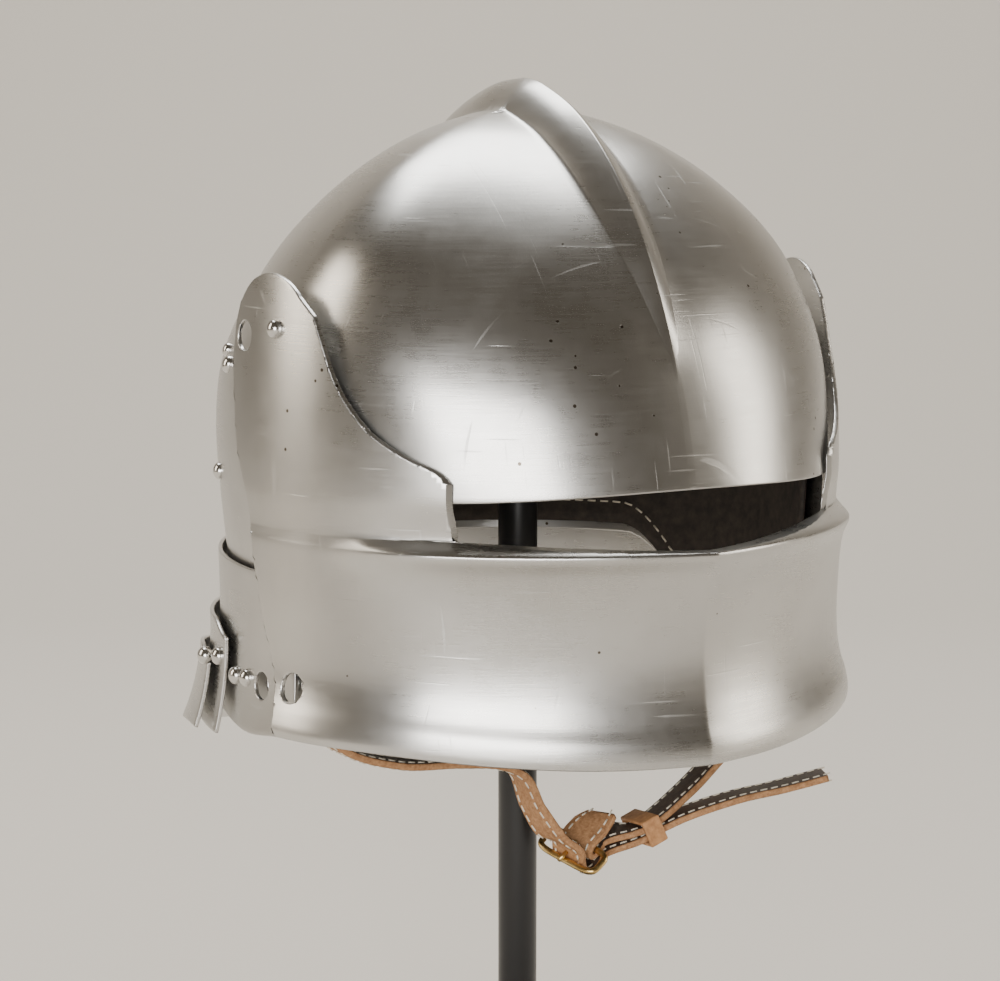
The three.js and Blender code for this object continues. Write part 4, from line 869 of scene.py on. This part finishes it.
def softened(node, name, material, width, body):
    """A copy of a CAD node's mesh with joined corners and rounded edges, shown in its place."""
    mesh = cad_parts[node].data.copy()
    mesh.materials.clear()
    mesh.materials.append(material)
    work = bmesh.new()
    work.from_mesh(mesh)
    bmesh.ops.remove_doubles(work, verts=work.verts, dist=1e-5)
    bmesh.ops.dissolve_limit(work, angle_limit=0.02, verts=work.verts, edges=work.edges)
    work.to_mesh(mesh)
    work.free()
    if "custom_normal" in mesh.attributes:
        mesh.attributes.remove(mesh.attributes["custom_normal"])
    made = bpy.data.objects.new(name, mesh)
    bpy.context.scene.collection.objects.link(made)
    modifier = made.modifiers.new("edges", "BEVEL")
    modifier.width = width * MM
    modifier.segments = 3
    modifier.limit_method = "ANGLE"
    modifier.angle_limit = math.radians(40)
    settle(made)
    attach(made, body)
    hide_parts(node)
    return made


softened("keeper", "tan_keeper", tan_leather, 0.6, "helmet_and_stand")

# Buckle: the round brass frame and its tongue, a little tarnished.
brass, shader, place = new_material("aged brass", (0.72, 0.5, 0.2), 1.0, 0.28)
tarnish = place.noise(300.0, 4.0, 0.6)
tarnish.ramp(0.35, 0.7).between((0.5, 0.33, 0.12), (0.83, 0.62, 0.28)).to(shader, "Base Color")
(0.2 + tarnish * 0.2).to(shader, "Roughness")
bump(tarnish, shader, 0.3, 0.0002)


def rod_object(name, middles, radius, sides, closed, material):
    """A round rod along points; an open rod's ends are closed by flat caps."""
    middles = np.asarray(middles, float)
    if closed:
        along = np.roll(middles, -1, axis=0) - np.roll(middles, 1, axis=0)
    else:
        along = np.gradient(middles, axis=0)
    along /= np.linalg.norm(along, axis=1, keepdims=True)
    first = np.cross(along, out_of_frame)
    first /= np.linalg.norm(first, axis=1, keepdims=True)
    second = np.cross(along, first)
    turn = 2 * math.pi * np.arange(sides) / sides
    verts = (middles[:, None] + radius * (np.cos(turn)[None, :, None] * first[:, None]
                                          + np.sin(turn)[None, :, None] * second[:, None])).reshape(-1, 3)
    faces = []
    count = len(middles)
    for i in range(count if closed else count - 1):
        n = (i + 1) % count
        for k in range(sides):
            b = (k + 1) % sides
            faces.append((sides * i + k, sides * i + b, sides * n + b, sides * n + k))
    if not closed:
        faces += [tuple(reversed(range(sides))), tuple(sides * (count - 1) + k for k in range(sides))]
    made = mesh_object(name, verts + HELMET_PLACE, faces, [material])
    made.data.polygons.foreach_set("use_smooth", [len(face) == 4 for face in faces])
    return made


half, depth = BUCKLE["length"] / 2, BUCKLE["depth"]
path = []
for degrees in range(0, 360, 6):
    angle = math.radians(degrees)
    c, s = math.cos(angle), math.sin(angle)
    across = depth / 2 * (1 + math.copysign(abs(c) ** FRAME_SQUARENESS, c))
    path.append(buckle_point(across, 0.0, half * math.copysign(abs(s) ** FRAME_SQUARENESS, s)))
buckle = rod_object("brass_buckle_frame", path, BUCKLE["bar"], 16, True, brass)
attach(buckle, "helmet_and_stand")
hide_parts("buckle")
over = BUCKLE["bar"] + BUCKLE["clearance"] + 0.9
tongue_ends = [buckle_point(depth, over), buckle_point(-3.0, over)]
tongue_path = [tongue_ends[0] + (tongue_ends[1] - tongue_ends[0]) * t for t in np.linspace(0, 1, 5)]
tongue = rod_object("brass_tongue", tongue_path, 0.9, 14, False, brass)
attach(tongue, "helmet_and_stand")
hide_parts("buckle_tongue")

# Stand: a satin black pole on a round base, with a turned pad under the crown.
black_paint, shader, place = new_material("satin black", (0.012, 0.012, 0.013), 0.0, 0.32)
dust = place.noise(90.0, 4.0, 0.6)
(0.26 + dust * 0.16).to(shader, "Roughness")


def turned_object(name, profile, sides, material, body, node):
    """A solid turned about the pole's axis from (radius, height) in mm, starting and ending on it."""
    points, faces = [(0.0, 0.0, profile[0][1])], []
    rings = profile[1:-1]
    for radius, height in rings:
        for k in range(sides):
            angle = 2 * math.pi * k / sides
            points.append((radius * math.cos(angle), radius * math.sin(angle), height))
    points.append((0.0, 0.0, profile[-1][1]))
    for k in range(sides):
        n = (k + 1) % sides
        faces.append((0, 1 + n, 1 + k))
        for r in range(len(rings) - 1):
            a, b = 1 + sides * r + k, 1 + sides * r + n
            faces.append((a, b, b + sides, a + sides))
        end = 1 + sides * (len(rings) - 1)
        faces.append((end + k, end + n, len(points) - 1))
    made = mesh_object(name, points, faces, [material])
    modifier = made.modifiers.new("edges", "BEVEL")
    modifier.width = 0.7 * MM
    modifier.segments = 3
    modifier.limit_method = "ANGLE"
    modifier.angle_limit = math.radians(50)
    settle(made)
    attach(made, body)
    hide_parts(node)
    return made


low, high = (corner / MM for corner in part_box("stand_pole"))
turned_object("black_pole", [(0, low.z), (7.5, low.z), (7.5, high.z), (0, high.z)], 72, black_paint,
              "helmet_and_stand", "stand_pole")
turned_object("black_base", [(0, 0), (100, 0), (100, 10), (98, 12), (0, 12)], 128, black_paint,
              "helmet_and_stand", "stand_base")
low, high = (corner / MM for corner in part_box("stand_pad"))
pad_dome = [(25 * share, high.z - 6.4 * share ** 2) for share in np.linspace(1, 0, 14)]
turned_object("black_pad", [(0, low.z), (18.75, low.z), (25, low.z + 5.5), *pad_dome], 72, black_paint,
              "helmet_and_stand", "stand_pad")

# Floor and backdrop: one pale sweep, not part of the object.
pale, shader, place = new_material("pale paper", (0.78, 0.74, 0.68), 0.0, 0.9)
profile = [(-3.0, 0.0), (1.2, 0.0)]
profile += [(1.2 + 1.0 * math.sin(a), 1.0 - 1.0 * math.cos(a)) for a in np.linspace(0.05, math.pi / 2, 20)]
profile += [(2.2, 4.0)]
points, faces = [], []
facing = math.radians(-30)
for across in (-4.0, 4.0):
    for away, height in profile:
        points.append(((across * math.cos(facing) - away * math.sin(facing)) / MM,
                       (across * math.sin(facing) + away * math.cos(facing)) / MM, height / MM))
count = len(profile)
faces = [(i + count, i + 1 + count, i + 1, i) for i in range(count - 1)]
floor = mesh_object("pale_sweep", points, faces, [pale])
floor.data.polygons.foreach_set("use_smooth", [True] * len(faces))

# Soft studio light: a broad low panel behind the camera, one overhead and a narrow one on each side.
world = bpy.data.worlds.new("dim room")
world.use_nodes = True
world.node_tree.nodes["Background"].inputs["Color"].default_value = (0.2, 0.165, 0.12, 1.0)
world.node_tree.nodes["Background"].inputs["Strength"].default_value = 0.45
bpy.context.scene.world = world
LIGHTS = {
    "name": ("front panel", "overhead panel", "left panel", "right panel"),
    "azimuth": (-38.0, 150.0, -118.0, 62.0),
    "elevation": (9.0, 66.0, 22.0, 14.0),
    "distance": (2.6, 2.0, 2.0, 2.2),
    "width": (1.9, 1.6, 0.7, 0.6),
    "height": (1.0, 1.0, 1.5, 1.6),
    "power": (62.0, 40.0, 16.0, 16.0),
    "colour": ((1.0, 0.98, 0.95), (1.0, 1.0, 0.98), (1.0, 0.9, 0.76), (1.0, 0.93, 0.82)),
}
aim = Vector((0.0, 0.0, 0.3))
for name, azimuth, elevation, distance, width, height, power, colour in zip(*LIGHTS.values()):
    data = bpy.data.lights.new(name, "AREA")
    data.shape = "RECTANGLE"
    data.size = width
    data.size_y = height
    data.energy = power
    data.color = colour
    lamp = bpy.data.objects.new(name, data)
    a, e = math.radians(azimuth), math.radians(elevation)
    back = Vector((math.sin(a) * math.cos(e), -math.cos(a) * math.cos(e), math.sin(e)))
    lamp.location = aim + back * distance
    lamp.rotation_mode = "QUATERNION"
    lamp.rotation_quaternion = (-back).to_track_quat("-Z", "Y")
    bpy.context.scene.collection.objects.link(lamp)

# Camera at the photo's place and angle.
camera_data = bpy.data.cameras.new("camera")
camera_data.lens = 95.04
camera_data.sensor_width = 36.0
camera = bpy.data.objects.new("camera", camera_data)
camera.location = (-0.50589, -0.86263, 0.410)
camera.rotation_euler = (math.radians(82.2), 0.0, math.radians(-30.0))
bpy.context.scene.collection.objects.link(camera)
bpy.context.scene.camera = camera
